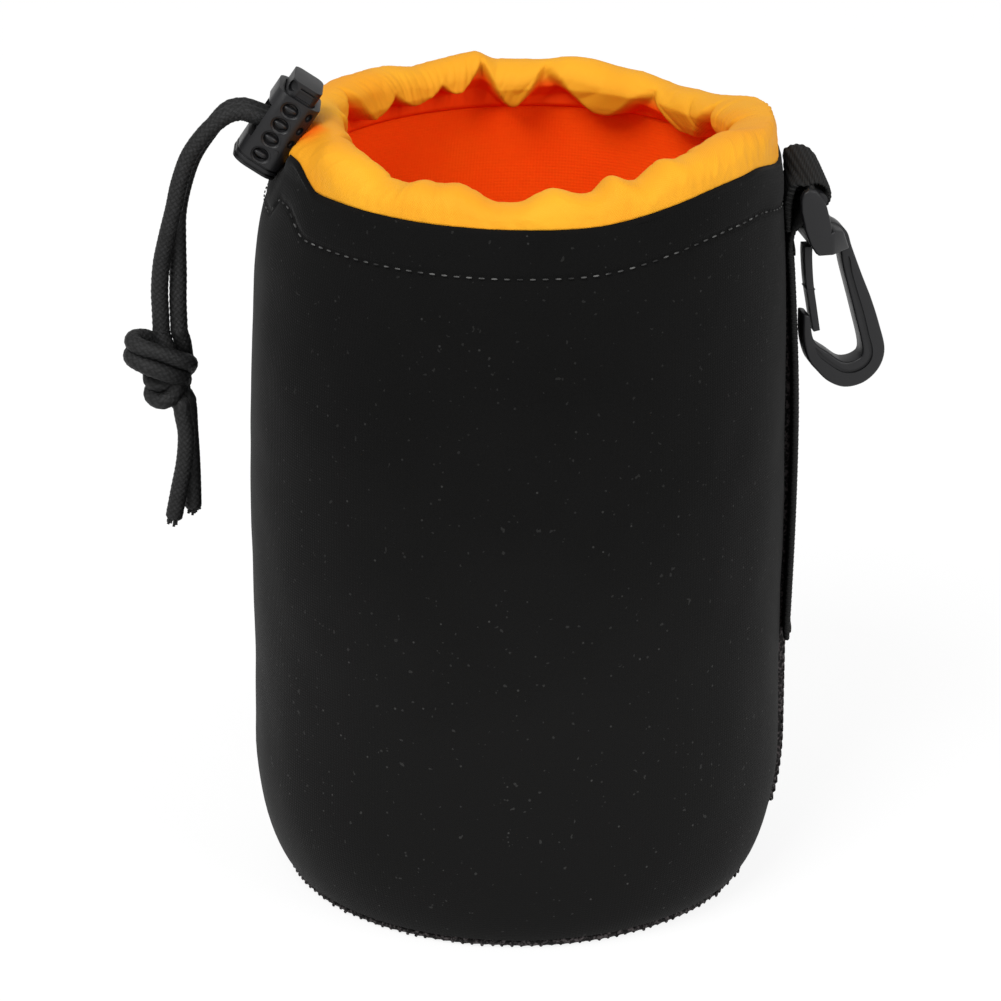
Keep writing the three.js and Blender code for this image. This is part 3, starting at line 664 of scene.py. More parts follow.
def stitch_rows(name, places, size, *nodes, thread=thread_black, slot="thread_black"):
    """Short threads, each a capsule at its place, along one direction and pointing outwards."""
    bpy.ops.mesh.primitive_uv_sphere_add(segments=8, ring_count=6, radius=0.5 * mm)
    stitch = bpy.context.object
    capsule = np.array([tuple(v.co) for v in stitch.data.vertices]) / mm
    faces = [tuple(p.vertices) for p in stitch.data.polygons]
    bpy.data.objects.remove(stitch)
    capsule[:, 0] = np.sign(capsule[:, 0]) * np.minimum(np.abs(capsule[:, 0]) * 2, 1) ** 0.5 * 0.5
    capsule *= size
    all_points = []
    all_faces = []
    for place, along, out in places:
        along = np.array(along, float) / np.linalg.norm(along)
        out = np.array(out, float) - along * np.dot(out, along)
        out /= np.linalg.norm(out)
        side = np.cross(out, along)
        first = len(all_points)
        all_points += list(
            np.outer(capsule[:, 0], along) + np.outer(capsule[:, 1], side)
            + np.outer(capsule[:, 2], out) + np.array(place)
        )
        all_faces += [tuple(first + k for k in face) for face in faces]
    piece = mesh_piece(name, np.array(all_points), all_faces)
    return finish_piece(piece, thread, slot, "pouch", *nodes)


seam_lumps = 150
seam_radius, seam_height = 40.85, 0.95
thread_radius, thread_height = 41.46, 1.08
seam_rings = []
for a in np.radians(np.arange(0, 360, 0.4)):
    lump = (0.5 + 0.5 * math.cos(a * seam_lumps)) ** 0.7
    lump *= 0.55 + 0.6 * ring_swell(90, a, 7, 3.1)
    girth = 0.86 + 0.2 * lump + 0.14 * ring_swell(50, a, 3, 5)
    ring = []
    for t in np.linspace(0, 2 * np.pi, 14, endpoint=False):
        r = seam_radius + 0.82 * girth * math.cos(t)
        ring.append((r * math.cos(a), r * math.sin(a), seam_height + 0.7 * girth * math.sin(t)))
    seam_rings.append(ring)
seam = grid_mesh("base_seam_ridge", np.array(seam_rings)[:, ::-1], along=True)
finish_piece(seam, thread_black, "thread_black", "pouch", "base_seam")
seam_stitches = []
for k in range(seam_lumps):
    a = 2 * math.pi * k / seam_lumps
    slant = 0.4 + 0.5 * swell(k * 2.3, 5, 1, 1.7)
    along = np.array((-math.sin(a), math.cos(a), 0)) * slant + np.array((0, 0, 1))
    r = thread_radius + 0.45 * swell(k * 1.9, 2, 6, 1.3)
    place = (r * math.cos(a), r * math.sin(a), thread_height)
    seam_stitches.append((place, along, (math.cos(a), math.sin(a), -0.15)))
stitch_rows("base_seam_threads", seam_stitches, (1.75, 0.75, 0.56))


# The upright seam on the strap's side. The panel's two edges meet there in a narrow ridge
# that runs from the foot up behind the strap, joined by a flat zigzag of black thread.
ridge_low, ridge_high = 7.6, 122.4
belt_loop_top, belt_loop_length = 118, 75
side_rings = []
for z in np.arange(ridge_low, ridge_high, 0.3):
    # it fills the gap behind the belt loop, and sinks into the wall at its lower end
    in_loop = min(max(belt_loop_top - z, 0), belt_loop_length)
    proud = 0.52 + 0.8 * math.sin(math.pi * in_loop / belt_loop_length)
    proud += 0.5 * (1 - float(soft_step((z - 41) / 2.5)))
    proud *= float(soft_step((z - ridge_low) / 2.5))
    lump = 0.5 + 0.5 * math.cos(z * 2 * math.pi / 1.3)
    x = float(outer_radius(z)) + float(lean(z))
    ring = [(x - 0.8, 1.15, z), (x - 0.8, -1.15, z)]
    for t in np.linspace(-1, 1, 11):
        out = proud * math.sqrt(1 - t * t) * (0.86 + 0.14 * lump)
        ring.append((x - 0.1 + out, 1.2 * t * (0.93 + 0.07 * lump), z))
    side_rings.append(ring)
side_ridge = grid_mesh("side_seam_ridge", np.array(side_rings), caps=True)
finish_piece(side_ridge, thread_black, "thread_black", "pouch", "side_seam")
side_places = []
for k in range(38):
    z = 9.2 + k * 0.86
    slant = 0.5 if k % 2 else -0.5
    side_places.append(((float(outer_radius(z)) + 0.82, 0, z), (0, 1, slant), (1, 0, 0)))
stitch_rows("side_seam_zigzag", side_places, (2.2, 0.5, 0.45))


# The lining: an orange knitted cloth, laminated to the inside of the foam rubber.
# A round piece of it lies on the bottom.
lining_cloth, lining_shader, lining_place, lining_uv = finish_of(
    "orange_lining", (0.97, 0.07, 0.0015), 0.85, Specular_IOR_Level=0.1,
)
lining_mottle = lining_place.grain(60.0, Detail=5.0)
lining_fuzz = lining_place.grain(1500.0)
lining_waves = [(way * (2 * math.pi / (0.6 * mm))).sine() for way in split(lining_uv)[:2]]
lining_knit = lining_waves[0] + lining_waves[1]
lining_tone = lining_mottle * 0.7 + lining_fuzz * 0.3
connect(lining_shader, Base_Color=lining_tone.mix((0.97, 0.05, 0.001), (1.0, 0.125, 0.002)))
raise_bump(lining_shader, lining_knit * 0.25 + lining_fuzz, 0.4, 0.12 * mm)

lining_top = 131.4
lining_gap = 0.3
lining_levels = np.concatenate([
    np.linspace(4.5, foot_height, 9, endpoint=False), np.linspace(foot_height, lining_top, 60),
])
outside = []
inside = []
for z in lining_levels:
    ripple = np.array([0.22 * ring_swell(40, a, z + 500, 16) for a in coarse])
    r_out = inner_radius(z) - lining_gap
    r_in = r_out - 0.6 - np.clip(ripple, 0, 1) * min((lining_top - z) / 6, 1)
    outside.append(level_ring(r_out, z, coarse, float(lean(z))))
    inside.append(level_ring(r_in, z, coarse, float(lean(z))))
lining = grid_mesh(
    "tube_lining", np.array(outside + inside[::-1]), along=True,
    uv=(coarse_shares * 270, np.concatenate([lining_levels, lining_levels[::-1] + 3, [0]])),
)
finish_piece(lining, lining_cloth, "lining_orange", "pouch", "wall_lining")

floor_cloth_radius = 39.6
floor_rings = []
for share in np.concatenate([np.linspace(0.02, 0.985, 16), [1.0]]):
    r = floor_cloth_radius * share
    z = [4.05 + 0.06 * ring_swell(r, a, 9, 14) for a in coarse]
    floor_rings.append(level_ring(r, z, coarse))
for share in np.concatenate([[1.0], np.linspace(0.985, 0.02, 6)]):
    floor_rings.append(level_ring(floor_cloth_radius * share, 3.5, coarse))
floor_cloth = grid_mesh(
    "bottom_lining", np.array(floor_rings), caps=True,
    uv=(coarse_shares * disc_width, np.arange(len(floor_rings) + 1) * 2.6),
)
finish_piece(floor_cloth, lining_cloth, "lining_orange", "pouch", "base_lining")


# The row of stitches round the rim, 8 mm below its edge, in a grey thread.
# They go through the wall, the lining and the collar's hem, and sink into the foam.
thread_grey, grey_shader, grey_place, _ = finish_of(
    "grey_thread", (0.1, 0.1, 0.097), 0.75, Specular_IOR_Level=0.2
)
grey_grain = grey_place.grain(420.0)
grey_tone = grey_grain.above(0.5, 0.35).mix((0.012, 0.012, 0.012), (0.1, 0.1, 0.097))
connect(grey_shader, Base_Color=grey_tone)
rim_places = []
for k in range(stitch_count):
    a = 2 * math.pi * (k + 0.5) / stitch_count
    d = math.degrees(a)
    z = wall_top + float(rim_rise(d)) - stitch_drop
    slope = (float(rim_rise(d + 1)) - float(rim_rise(d - 1))) / (2 * math.radians(1) * 46)
    r = float(outer_radius(z)) + left_bulge(d, z) + 0.02
    place = (float(lean(z)) + r * math.cos(a), r * math.sin(a), z)
    rim_places.append((place, (-math.sin(a), math.cos(a), slope), (math.cos(a), math.sin(a), 0)))
stitch_rows(
    "rim_stitches", rim_places, (1.05, 0.3, 0.26), "rim_stitching",
    thread=thread_grey, slot="thread_pale",
)


# The gathered collar: a band of thin orange nylon, folded double over the drawcord.
# Its outer edge is sewn to the rim and its inner edge to the lining, and the drawcord
# gathers it, so that its inner side hangs in swags with hollows between them.
# Each swag: its angle, the height of its tip, its half width at the crest and its fullness.
swags = [
    (142, 131.8, 13, 1.0), (126, 132.3, 15, 1.0), (112, 133.4, 9, 0.95), (94.6, 129.8, 9, 1.1),
    (68, 128.6, 17, 1.0), (38, 127.6, 14, 0.9), (14, 130.0, 11, 0.8), (352, 130.5, 11, 0.9),
    (330, 129.5, 12, 1.0), (306, 131.0, 11, 0.8), (284, 129.8, 12, 1.0), (262, 130.6, 11, 0.8),
    (241, 129.6, 11, 1.0), (219, 131.0, 11, 0.8), (190, 131.5, 15, 0.5), (166, 130.4, 12, 0.9),
]
# Soft folds of the outer side: angle at the rim, lean along the height, half width, height.
folds = [
    (222, -9, 5.0, 0.9), (207, 10, 4.0, 0.7), (238, 8, 7.0, 0.5), (268, -6, 8.0, 0.45),
    (296, 9, 6.0, 0.5), (318, -8, 6.0, 0.55), (337, 10, 6.0, 0.5), (352, -7, 5.0, 0.5),
    (6, 8, 5.0, 0.5), (22, -6, 6.0, 0.5), (60, 8, 7.0, 0.6), (100, -7, 6.0, 0.6),
    (140, 8, 8.0, 0.6),
]
tunnel_radius = 38.4
collar_edge = 43.05  # the radius at which the collar leaves the rim
hem_height = 128.9


def turned_from(d, angle, aslant=0.0):
    """How many degrees d lies from the angle, from -180 to 180."""
    return (d - angle - aslant + 540) % 360 - 180


def swag_cover(d, z, top):
    """How much a swag covers this angle and height, and how full it is there."""
    cover = 0.0
    for angle, tip, half, full in swags:
        away = abs(turned_from(d, angle))
        rise = np.clip((z - tip) / (top - tip), 0, 1)
        width = half * rise**0.62 + 0.4
        edge = soft_step((width - away) / (0.35 * half) + 0.5) * (1 if z > tip - 0.6 else 0)
        cover = max(cover, float(edge) * full * float(soft_step((z - tip + 0.6) / 1.2)))
    return cover


def pleats(d, length, seed):
    """Soft folds and fine creases across the band, which run a little aslant."""
    a = math.radians(d + 1.1 * length * math.sin(math.radians(3 * d)))
    wide = ring_swell(6, a, length * 0.07 + seed)
    crisp = 1 - abs(ring_swell(13, a, length * 0.1 + seed * 3))
    fine = ring_swell(46, a, length * 0.14 + seed * 2)
    return 0.62 * wide + 0.46 * (crisp**6 - 0.4) + 0.16 * fine


def fold_height(d, q):
    """The soft folds of the outer side, q from 0 at the rim to 1 at the crest."""
    height = 0.0
    for angle, slant, half, tall in folds:
        away = turned_from(d, angle, slant * q) / half
        height += tall * math.exp(-away * away) * (0.25 + 0.75 * q)
    return height


def strap_bulge(d):
    """The collar stands out over the strap, away from the drawcord."""
    return 3.4 * float(soft_step((36 - abs(turned_from(d, 6))) / 24))


outer_steps = 26
inner_steps = 38
collar_rows = []
painted_shade = []
for d, top in zip(collar_degrees, crest):
    pushed = float(dent(d))
    start_z = wall_top + float(rim_rise(d)) + 0.05
    top = max(float(top), start_z + 1.6)
    out = strap_bulge(d)
    angle_here = math.radians(d)
    column = []
    shade = []
    for k in range(outer_steps):
        q = k / outer_steps
        angle = q * math.pi / 2
        r = tunnel_radius + out + (collar_edge - tunnel_radius - out) * math.cos(angle) ** 0.85
        z = start_z + (top - start_z) * math.sin(angle)
        r += 0.45 * math.sin(math.pi * q) * (1 - pushed) * (1 - 0.25 * out)
        ease = min(q * 5, 1)
        r += pleats(d, k * 0.3, 3.0) * (0.16 + 0.72 * q) * (1 - 0.4 * pushed)
        r += (fold_height(d, q) - 0.35) * 0.8 * ease * (1 - 0.5 * pushed)
        r += 0.3 * (1 - q) ** 2 * ease * ring_swell(30, angle_here, q)
        r -= dent_depth * pushed * (0.12 + 0.88 * float(soft_step(q * 1.7)))
        # beside the lock the cord pushes the cloth out, and a redder painted shade lies on the
        # cloth there
        r += 1.6 * math.exp(-(((d - 191) / 7) ** 2) - ((z - 138.6) / 2.2) ** 2)
        column.append((r, z))
        middle = float(soft_step(q * 2.2 - 0.3)) * (1 - float(soft_step(q * 4 - 3)))
        shade.append(0.75 * (math.exp(-(((d - 194) / 6.0) ** 2)) * middle))
    for k in range(inner_steps):
        v = k / (inner_steps - 1)
        z = top - (top - hem_height) * (v**1.35)
        cover = swag_cover(d, z, top)
        depth = top - z
        open_r = np.interp(depth, (0, 1.0, 4.3, 6.6, 9.5), (36.2, 36.2, 36.2, 38.4, 38.9))
        full_r = np.interp(z, (hem_height, 131, 134, 137), (35.3, 34.3, 33.4, 33.9))
        inner = open_r + (full_r - open_r) * min(cover, 1.15)
        round_over = math.sqrt(max(1 - (1 - min(depth / 3.2, 1)) ** 2, 0))
        edge = tunnel_radius + out + 0.6 * (fold_height(d, 1) - 0.35) * (1 - 0.5 * pushed)
        r = edge - (edge - inner) * round_over
        crease = pleats(d, outer_steps * 0.3 + k * 0.25, 3.0) * 0.65 * min((1 - v) * 5 + 0.1, 1)
        r += min(crease, 0.25) if 0.8 < depth < 5 and cover < 0.5 else crease
        r -= dent_depth * pushed * float(soft_step((z - 128) / 7))
        r += 0.9 * max(v - 0.94, 0) / 0.06
        column.append((r, z))
        # painted shade in the hollows between the swags, where no swag covers the cloth
        shade.append((1 - min(cover, 1)) * float(soft_step((depth - 1.6) / 3.2)))
    collar_rows.append(column)
    painted_shade.append(shade)
collar_rows = np.array(collar_rows)
turn = np.radians(collar_degrees)[:, None]
collar_r, collar_z = collar_rows[:, :, 0], collar_rows[:, :, 1]
collar_points = np.stack([
    mouth_shift + collar_r * np.cos(turn), collar_r * np.sin(turn), collar_z,
], 2).transpose(1, 0, 2)
collar_length = np.concatenate([
    np.arange(outer_steps) * 0.3, outer_steps * 0.3 + np.arange(inner_steps) * 0.42,
])
collar = grid_mesh(
    "nylon_collar", collar_points,
    uv=(np.arange(collar_columns + 1) / collar_columns * 2 * np.pi * 45, collar_length),
)
painted_shade_values = collar.data.attributes.new("painted_shade", "FLOAT", "POINT")
painted_shade_values.data.foreach_set("value", np.array(painted_shade).T.reshape(-1).astype(np.float32))
select_only(collar)
thicken = collar.modifiers.new("thickness", "SOLIDIFY")
thicken.thickness = 0.35 * mm
thicken.offset = -1
bpy.ops.object.modifier_apply(modifier=thicken.name)

nylon, nylon_shader, nylon_place, nylon_cloth = finish_of(
    "orange_nylon", (0.78, 0.34, 0.015), 0.6, Specular_IOR_Level=0.15,
)
thread_u, thread_v, _ = split(nylon_cloth)
warp = ((thread_u + thread_v) * (math.pi / (0.45 * mm))).sine().size()
weft = ((thread_u - thread_v) * (math.pi / (0.45 * mm))).sine().size()
weave = warp * weft
painted_shade_mask = nylon_place.node("ShaderNodeAttribute", {"attribute_name": "painted_shade"}, {}, out=2)
nylon_cloudy = nylon_place.grain(70.0, Detail=3.0)
weave_patch = nylon_place.grain(42.0, Detail=1.0)
meshy = weave_patch.above(0.56, 0.16) * weave
nylon_tone = (nylon_cloudy.above(0.5, 0.5) * 0.5 + weave * 0.15).mix(
    (0.74, 0.312, 0.0115), (0.8, 0.392, 0.019)
)
nylon_weave = (meshy * 0.5).mix(nylon_tone, (0.76, 0.2, 0.006))
# The hollows and the cloth beside the lock take a painted shade, red like the lining.
connect(nylon_shader, Base_Color=painted_shade_mask.mix(nylon_weave, (0.98, 0.07, 0.0015)))
nylon_crinkle = nylon_place.grain(240.0, Detail=4.0)
raise_bump(nylon_shader, weave * 0.5 + nylon_crinkle * 1.2, 0.42, 0.2 * mm)
finish_piece(collar, nylon, "nylon_orange", "pouch", "gathered_collar")


# The strap: one run of ribbed black webbing, 10 mm wide and 1.2 mm thick.
# It is sewn on at the rim, passes over and under the hook's bar as a snug loop that stands
# up behind, and goes on down the pouch's side as the belt loop. Its picks run across it.
webbing_width = 10.0
webbing_thickness = 1.2
pick_pitch = 0.86
strap_gap = 0.4  # between the wall and the webbing, at the belt loop's ends
loop_stands_out = 0.8  # how much more in the loop's middle
loop_x, loop_z = 50.12, 127.6
loop_half_width, loop_half_height = 2.72, 3.3


def sideways(line):
    """The direction across a line that lies upright along X, at each of its points."""
    ahead = directions(line)
    return np.stack([ahead[:, 2], np.zeros(len(ahead)), -ahead[:, 0]], 1)


def strap_x(z):
    share = math.sin(math.pi * (belt_loop_top - z) / belt_loop_length)
    middle = strap_gap + webbing_thickness / 2
    return float(outer_radius(z)) + float(lean(z)) + middle + loop_stands_out * share


strap_route = [(46.85, 0, 120.2), (46.9, 0, 122.4), (46.97, 0, 124.6), (47.15, 0, 126.0)]
for a in np.radians(np.linspace(178, -72, 17)):
    x = loop_x + loop_half_width * math.cos(a)
    strap_route.append((x, 0, loop_z + loop_half_height * math.sin(a)))
strap_route += [(49.5, 0, 123.1), (48.3, 0, 121.4)]
for z in np.linspace(belt_loop_top, belt_loop_top - belt_loop_length, 17):
    strap_route.append((strap_x(z), 0, z))
strap_step = 0.2
strap_line = smooth_route(strap_route, strap_step)
across = np.linspace(-1, 1, 25)
strap_rings = []
for i, (p, n) in enumerate(zip(strap_line, sideways(strap_line))):
    run = i * strap_step
    pick = 0.5 + 0.5 * math.cos(run * 2 * math.pi / pick_pitch)
    in_loop = float(soft_step((p[2] - 119.5) / 4)) * float(soft_step((p[0] - 47.2) / 1.2))
    # thicker towards the wall, so that no gap shows behind the belt loop or the end
    fill = 0.2 * float(soft_step((117.5 - p[2]) / 2) * soft_step((p[2] - 43.3) / 1.5))
    inner_fill = 0.5 * float(soft_step(run / 5) * soft_step((11 - run) / 2.5))
    ring = []
    for face in (1, -1):
        for t in across[:: face]:
            edge = abs(t) ** 10
            wave = 0.5 + 0.5 * math.cos(t * math.pi * 11 + (math.pi if face > 0 else 0))
            half = (webbing_thickness / 2 - 0.2 + 0.17 * pick + 0.05 * wave) * (1 - 0.5 * edge)
            half += fill if face == 1 else inner_fill
            y = t * (webbing_width / 2 - 0.2 + 0.26 * pick * edge)
            point = p + face * half * n + np.array((0, y, 0))
            share = t * in_loop
            point[0] += -1.47 * share + 0.42 * share * (point[0] - loop_x) / loop_half_width
            point[2] += 1.85 * share * min(max((point[2] - 124.3) / 6.6, 0), 1)
            ring.append(point)
    strap_rings.append(ring)
strap_rings = np.array(strap_rings)
ring_turn = np.linspace(0, 2 * webbing_width, strap_rings.shape[1] + 1)
strap = grid_mesh(
    "webbing_strap", strap_rings, caps=True,
    uv=(ring_turn, np.arange(len(strap_rings) + 1) * strap_step),
)
webbing, webbing_shader, webbing_place, webbing_uv = finish_of(
    "black_webbing", (0.01, 0.01, 0.01), 0.75, Specular_IOR_Level=0.2
)
web_u, web_v, _ = split(webbing_uv)
web_picks = (web_v * (2 * math.pi / (pick_pitch * mm))).sine()
web_twist = (web_u * (2 * math.pi / (0.9 * mm)) + web_v * (2 * math.pi / (0.43 * mm))).sine()
web_fuzz = webbing_place.grain(1900.0)
web_tone = web_twist * 0.2 + 0.2 + web_fuzz * 0.45 + web_picks * 0.12
connect(webbing_shader, Base_Color=web_tone.mix((0.003, 0.003, 0.003), (0.02, 0.02, 0.0196)))
raise_bump(webbing_shader, web_twist * 0.4 + web_fuzz * 0.5, 0.5, 0.12 * mm)
finish_piece(strap, webbing, "webbing_black", "pouch", "side_strap")


# The bartacks: three short bars of dense zigzag stitching through the webbing.
# They hold its end at the rim, the top of the belt loop and its lower end.
def bartack(name, x, z, tilt, node):
    places = []
    for k in range(21):
        y = -4.1 + 8.2 * k / 20
        lean_out = 0.35 if k % 2 else -0.35
        places.append(((x + 0.02, 0.94 * y, z), (tilt, lean_out * 0.5, 1), (1, 0, 0)))
    stitch_rows(name, places, (1.75, 0.4, 0.34), node)


bartack("bartack_at_rim", 47.8, 127.9, 0.02, "bartack_rim")
bartack("bartack_upper_end", strap_x(116.2) + 0.6, 116.2, -0.07, "bartack_upper")
bartack("bartack_lower_end", strap_x(44.8) + 0.6, 44.8, 0.0, "bartack_lower")


# The cord lock's barrel: moulded black acetal, an upright box with well rounded corners.
# Thumb dimples with a bar in each run down its front and back beside a row of small holes,
# and two grooves circle its closed end. It was modelled upright and then tilted in place.
lock_tilt = math.radians(33.7)
lock_centre = Vector((-41.38, -6, 139.47)) * mm
lock_place = Matrix.Translation(lock_centre) @ Matrix.Rotation(lock_tilt, 4, "Y")
barrel_x, barrel_y, barrel_half = 8.3, 10.2, 7.35


def box_piece(name, size, centre):
    """A plain box, its place and size in its mesh."""
    bpy.ops.mesh.primitive_cube_add(size=1, location=Vector(centre) * mm)
    piece = bpy.context.object
    piece.name = name
    piece.scale = Vector(size) * mm
    bpy.ops.object.transform_apply(location=True, rotation=True, scale=True)
    return piece


def cut_with(piece, tool, operation="DIFFERENCE"):
    """The tool's shape cut away from the piece, or joined to it with UNION."""
    select_only(piece)
    cut = piece.modifiers.new("cut", "BOOLEAN")
    cut.operation = operation
    cut.solver = "EXACT"
    cut.object = tool
    bpy.ops.object.modifier_apply(modifier=cut.name)
    bpy.data.objects.remove(tool)


def round_box(name, size, centre, corner):
    """A box whose four upright edges are rounded."""
    piece = box_piece(name, size, centre)
    select_only(piece)
    bpy.ops.object.mode_set(mode="EDIT")
    bpy.ops.mesh.select_mode(type="EDGE")
    bpy.ops.mesh.select_all(action="DESELECT")
    bpy.ops.object.mode_set(mode="OBJECT")
    points = [v.co / mm for v in piece.data.vertices]
    for edge in piece.data.edges:
        span = points[edge.vertices[0]] - points[edge.vertices[1]]
        edge.select = abs(span.x) < 1e-4 and abs(span.y) < 1e-4
    bpy.ops.object.mode_set(mode="EDIT")
    bpy.ops.mesh.bevel(offset=corner * mm, segments=8, affect="EDGES")
    bpy.ops.object.mode_set(mode="OBJECT")
    return piece


def oval(name, size, centre, segments=24, rings=14):
    bpy.ops.mesh.primitive_uv_sphere_add(segments=segments, ring_count=rings, radius=0.5)
    piece = bpy.context.object
    piece.name = name
    piece.scale = Vector(size) * mm
    piece.location = Vector(centre) * mm
    bpy.ops.object.transform_apply(location=True, rotation=True, scale=True)
    return piece


def soften(piece, width, segments=2, angle=40):
    """Rounds the sharp edges and shades the rest smooth."""
    select_only(piece)
    bevel = piece.modifiers.new("edges", "BEVEL")
    bevel.width = width * mm
    bevel.segments = segments
    bevel.limit_method = "ANGLE"
    bevel.angle_limit = math.radians(angle)
    bevel.use_clamp_overlap = True
    bpy.ops.object.modifier_apply(modifier=bevel.name)
    bpy.ops.object.shade_smooth_by_angle(angle=math.radians(35))


barrel = round_box("lock_body", (barrel_x, barrel_y, 2 * barrel_half), (0, 0, 0), 2.6)
cut_with(barrel, round_box("cavity", (6.1, 8.7, 20), (0, 0, 10 - 6.3), 1.8))
cut_with(barrel, round_box("cord_slot", (14, 7.0, 6.6), (0, 0, 0.8), 0.4))
cut_with(barrel, box_piece("cord_mouth", (2.4, 8.4, 6.6), (-4.0, 0, 0.8)))
dimple_levels = (-4.2, -0.9, 2.1, 5.2)
side_hole_levels = (0.1, 2.9, 5.7)
for side in (-1, 1):
    for z in dimple_levels:
        cut_with(barrel, oval("dimple_rim", (3.7, 0.8, 3.1), (side * 0.4, side * barrel_y / 2, z)))
        cut_with(barrel, oval("dimple", (3.0, 2.2, 2.5), (side * 0.4, side * barrel_y / 2, z)))
    for z in side_hole_levels:
        place = (-side * 3.0, side * (barrel_y / 2 - 0.3), z)
        cut_with(barrel, oval("side_hole", (1.3, 2.4, 1.7), place, 16, 10))
for z in (-6.75, -5.85):
    ring_tool = round_box("groove", (barrel_x + 1, barrel_y + 1, 0.36), (0, 0, z), 3.0)
    core_size = (barrel_x - 0.6, barrel_y - 0.6, 2)
    cut_with(ring_tool, round_box("groove_core", core_size, (0, 0, z), 2.4))
    cut_with(barrel, ring_tool)
soften(barrel, 0.16)
bumps = []
for side in (-1, 1):
    for z in dimple_levels:
        place = (side * 0.4, side * (barrel_y / 2 - 0.6), z)
        bumps.append(oval("dimple_bump", (2.7, 1.3, 1.05), place, 20, 10))
        bpy.ops.object.shade_smooth()
mark = box_piece("mould_mark", (0.85, 0.3, 0.75), (1.6, -barrel_y / 2 + 0.02, -2.4))
soften(mark, 0.1)
join_pieces("lock_body", [barrel, *bumps, mark])
barrel.data.transform(lock_place)

acetal, acetal_shader, acetal_place, _ = finish_of(
    "black_acetal", (0.008, 0.008, 0.009), 0.42, Specular_IOR_Level=0.36
)
acetal_grain = acetal_place.grain(2400.0)
acetal_flow = acetal_place.grain(160.0, Detail=3.0)
connect(
    acetal_shader,
    Base_Color=acetal_flow.mix((0.0045, 0.0045, 0.0052), (0.0095, 0.0095, 0.0107)),
    Roughness=acetal_flow * 0.2 + 0.34,
)
raise_bump(acetal_shader, acetal_grain, 0.25, 0.05 * mm)
finish_piece(barrel, acetal, "plastic_black", "cord_lock", "lock_barrel")


# The lock's plunger: the same acetal, with a stepped head and a small hole in its corner.
# Its slot lines up with the barrel's when it is pressed, which frees the cords.
plunger_top, plunger_bottom = 10.1, -3.9
plunger_size = (5.7, 8.3, plunger_top - plunger_bottom)
plunger = round_box("lock_button", plunger_size, (0, 0, (plunger_top + plunger_bottom) / 2), 1.4)
cut_with(plunger, round_box("plunger_slot", (9, 7.0, 7.9), (0, 0, 2.25), 0.3))
bpy.ops.mesh.primitive_cylinder_add(
    vertices=24, radius=1.75 * mm, depth=3.4 * mm, location=(0, 0, plunger_bottom * mm)
)
cut_with(plunger, bpy.context.object)
for side in (-1, 1):
    bpy.ops.mesh.primitive_cylinder_add(
        vertices=28, radius=1.0 * mm, depth=2.6 * mm,
        location=(side * 2.3 * mm, side * 3.6 * mm, 8.85 * mm),
        rotation=(math.pi / 2, 0, math.radians(-30 if side > 0 else 150)),
    )
    corner_hole = bpy.context.object
    bpy.ops.object.transform_apply(location=True, rotation=True, scale=True)
    cut_with(plunger, corner_hole)
    cut_with(plunger, round_box("cap_line", (3.6, 0.9, 0.3), (-side * 0.9, side * 4.15, 9.3), 0.1))
    cut_with(plunger, round_box("head_panel", (2.9, 0.9, 1.2), (-side * 0.5, side * 4.3, 8.2), 0.1))
soften(plunger, 0.35, segments=3)
plunger.data.transform(lock_place)
finish_piece(plunger, acetal, "plastic_black", "plunger", "lock_plunger")


# The spring under the plunger: a few turns of thin steel wire.
# It is wound along a rising circle between the barrel's floor and the button's recess.
spring_points = []
spring_low, spring_high = -6.0, -2.5
coil_radius, coil_turns = 1.2, 3
for k in range(97):
    share = k / 96
    a = share * coil_turns * 2 * math.pi
    z = spring_low + (spring_high - spring_low) * share
    spring_points.append((coil_radius * math.cos(a), coil_radius * math.sin(a), z))
spring_line = np.array([tuple(lock_place @ Vector(Vector(p) * mm) / mm) for p in spring_points])
rings, uv = cord_rings(spring_line, 12, 0.25, relief=0)
spring = grid_mesh("lock_coil", rings, caps=True, uv=uv)
wire, wire_shader, wire_place, _ = finish_of("spring_wire", (0.55, 0.55, 0.56), 0.3, Metallic=1.0)
wire_grain = wire_place.grain(900.0)
connect(wire_shader, Roughness=wire_grain * 0.25 + 0.2)
finish_piece(spring, wire, "spring_steel", "cord_lock", "lock_spring")
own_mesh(spring)


# The snap hook's frame: moulded black acetal, about 38 mm long.
# Two cheeks hold a bar in the webbing's loop, a block joins them under it, and the bow
# runs down and round to the nose. A fine groove follows the bow's inner edge on both sides.
# It was modelled square to the pouch and then turned 12 degrees about its upright line.
bar_x, bar_z = 50.9, 126.3
hook_shift, hook_width, hook_length = 0.5, 15.1, 36.5
hook_thickness = 4.4
hook_place = (
    Matrix.Translation((bar_x * mm, 0, 0)) @ Matrix.Rotation(math.radians(12), 4, "Z")
    @ Matrix.Translation((-bar_x * mm, 0, 0))
)
outer_shares = [
    (-0.06, -0.273), (-0.07, -0.235), (-0.04, -0.19), (0.13, -0.15), (0.27, -0.165), (0.38, -0.21),
    (0.44, -0.285), (0.57, -0.43), (0.69, -0.555), (0.8, -0.695), (0.87, -0.82), (0.805, -0.915),
    (0.63, -0.982), (0.4, -1.0), (0.2, -0.965), (0.045, -0.9), (-0.05, -0.845), (-0.115, -0.74),
    (-0.125, -0.61),
]
inner_shares = [
    (-0.04, -0.618), (-0.03, -0.67), (0.0, -0.735), (0.06, -0.775), (0.19, -0.815), (0.37, -0.868),
    (0.54, -0.86), (0.6, -0.81), (0.49, -0.62), (0.34, -0.39), (0.3, -0.3), (0.24, -0.273),
]


def hook_places(shares):
    """Points of the hook, from shares of its width and of its length below the bar."""
    return [(bar_x + hook_shift + x * hook_width, 0, bar_z + z * hook_length) for x, z in shares]


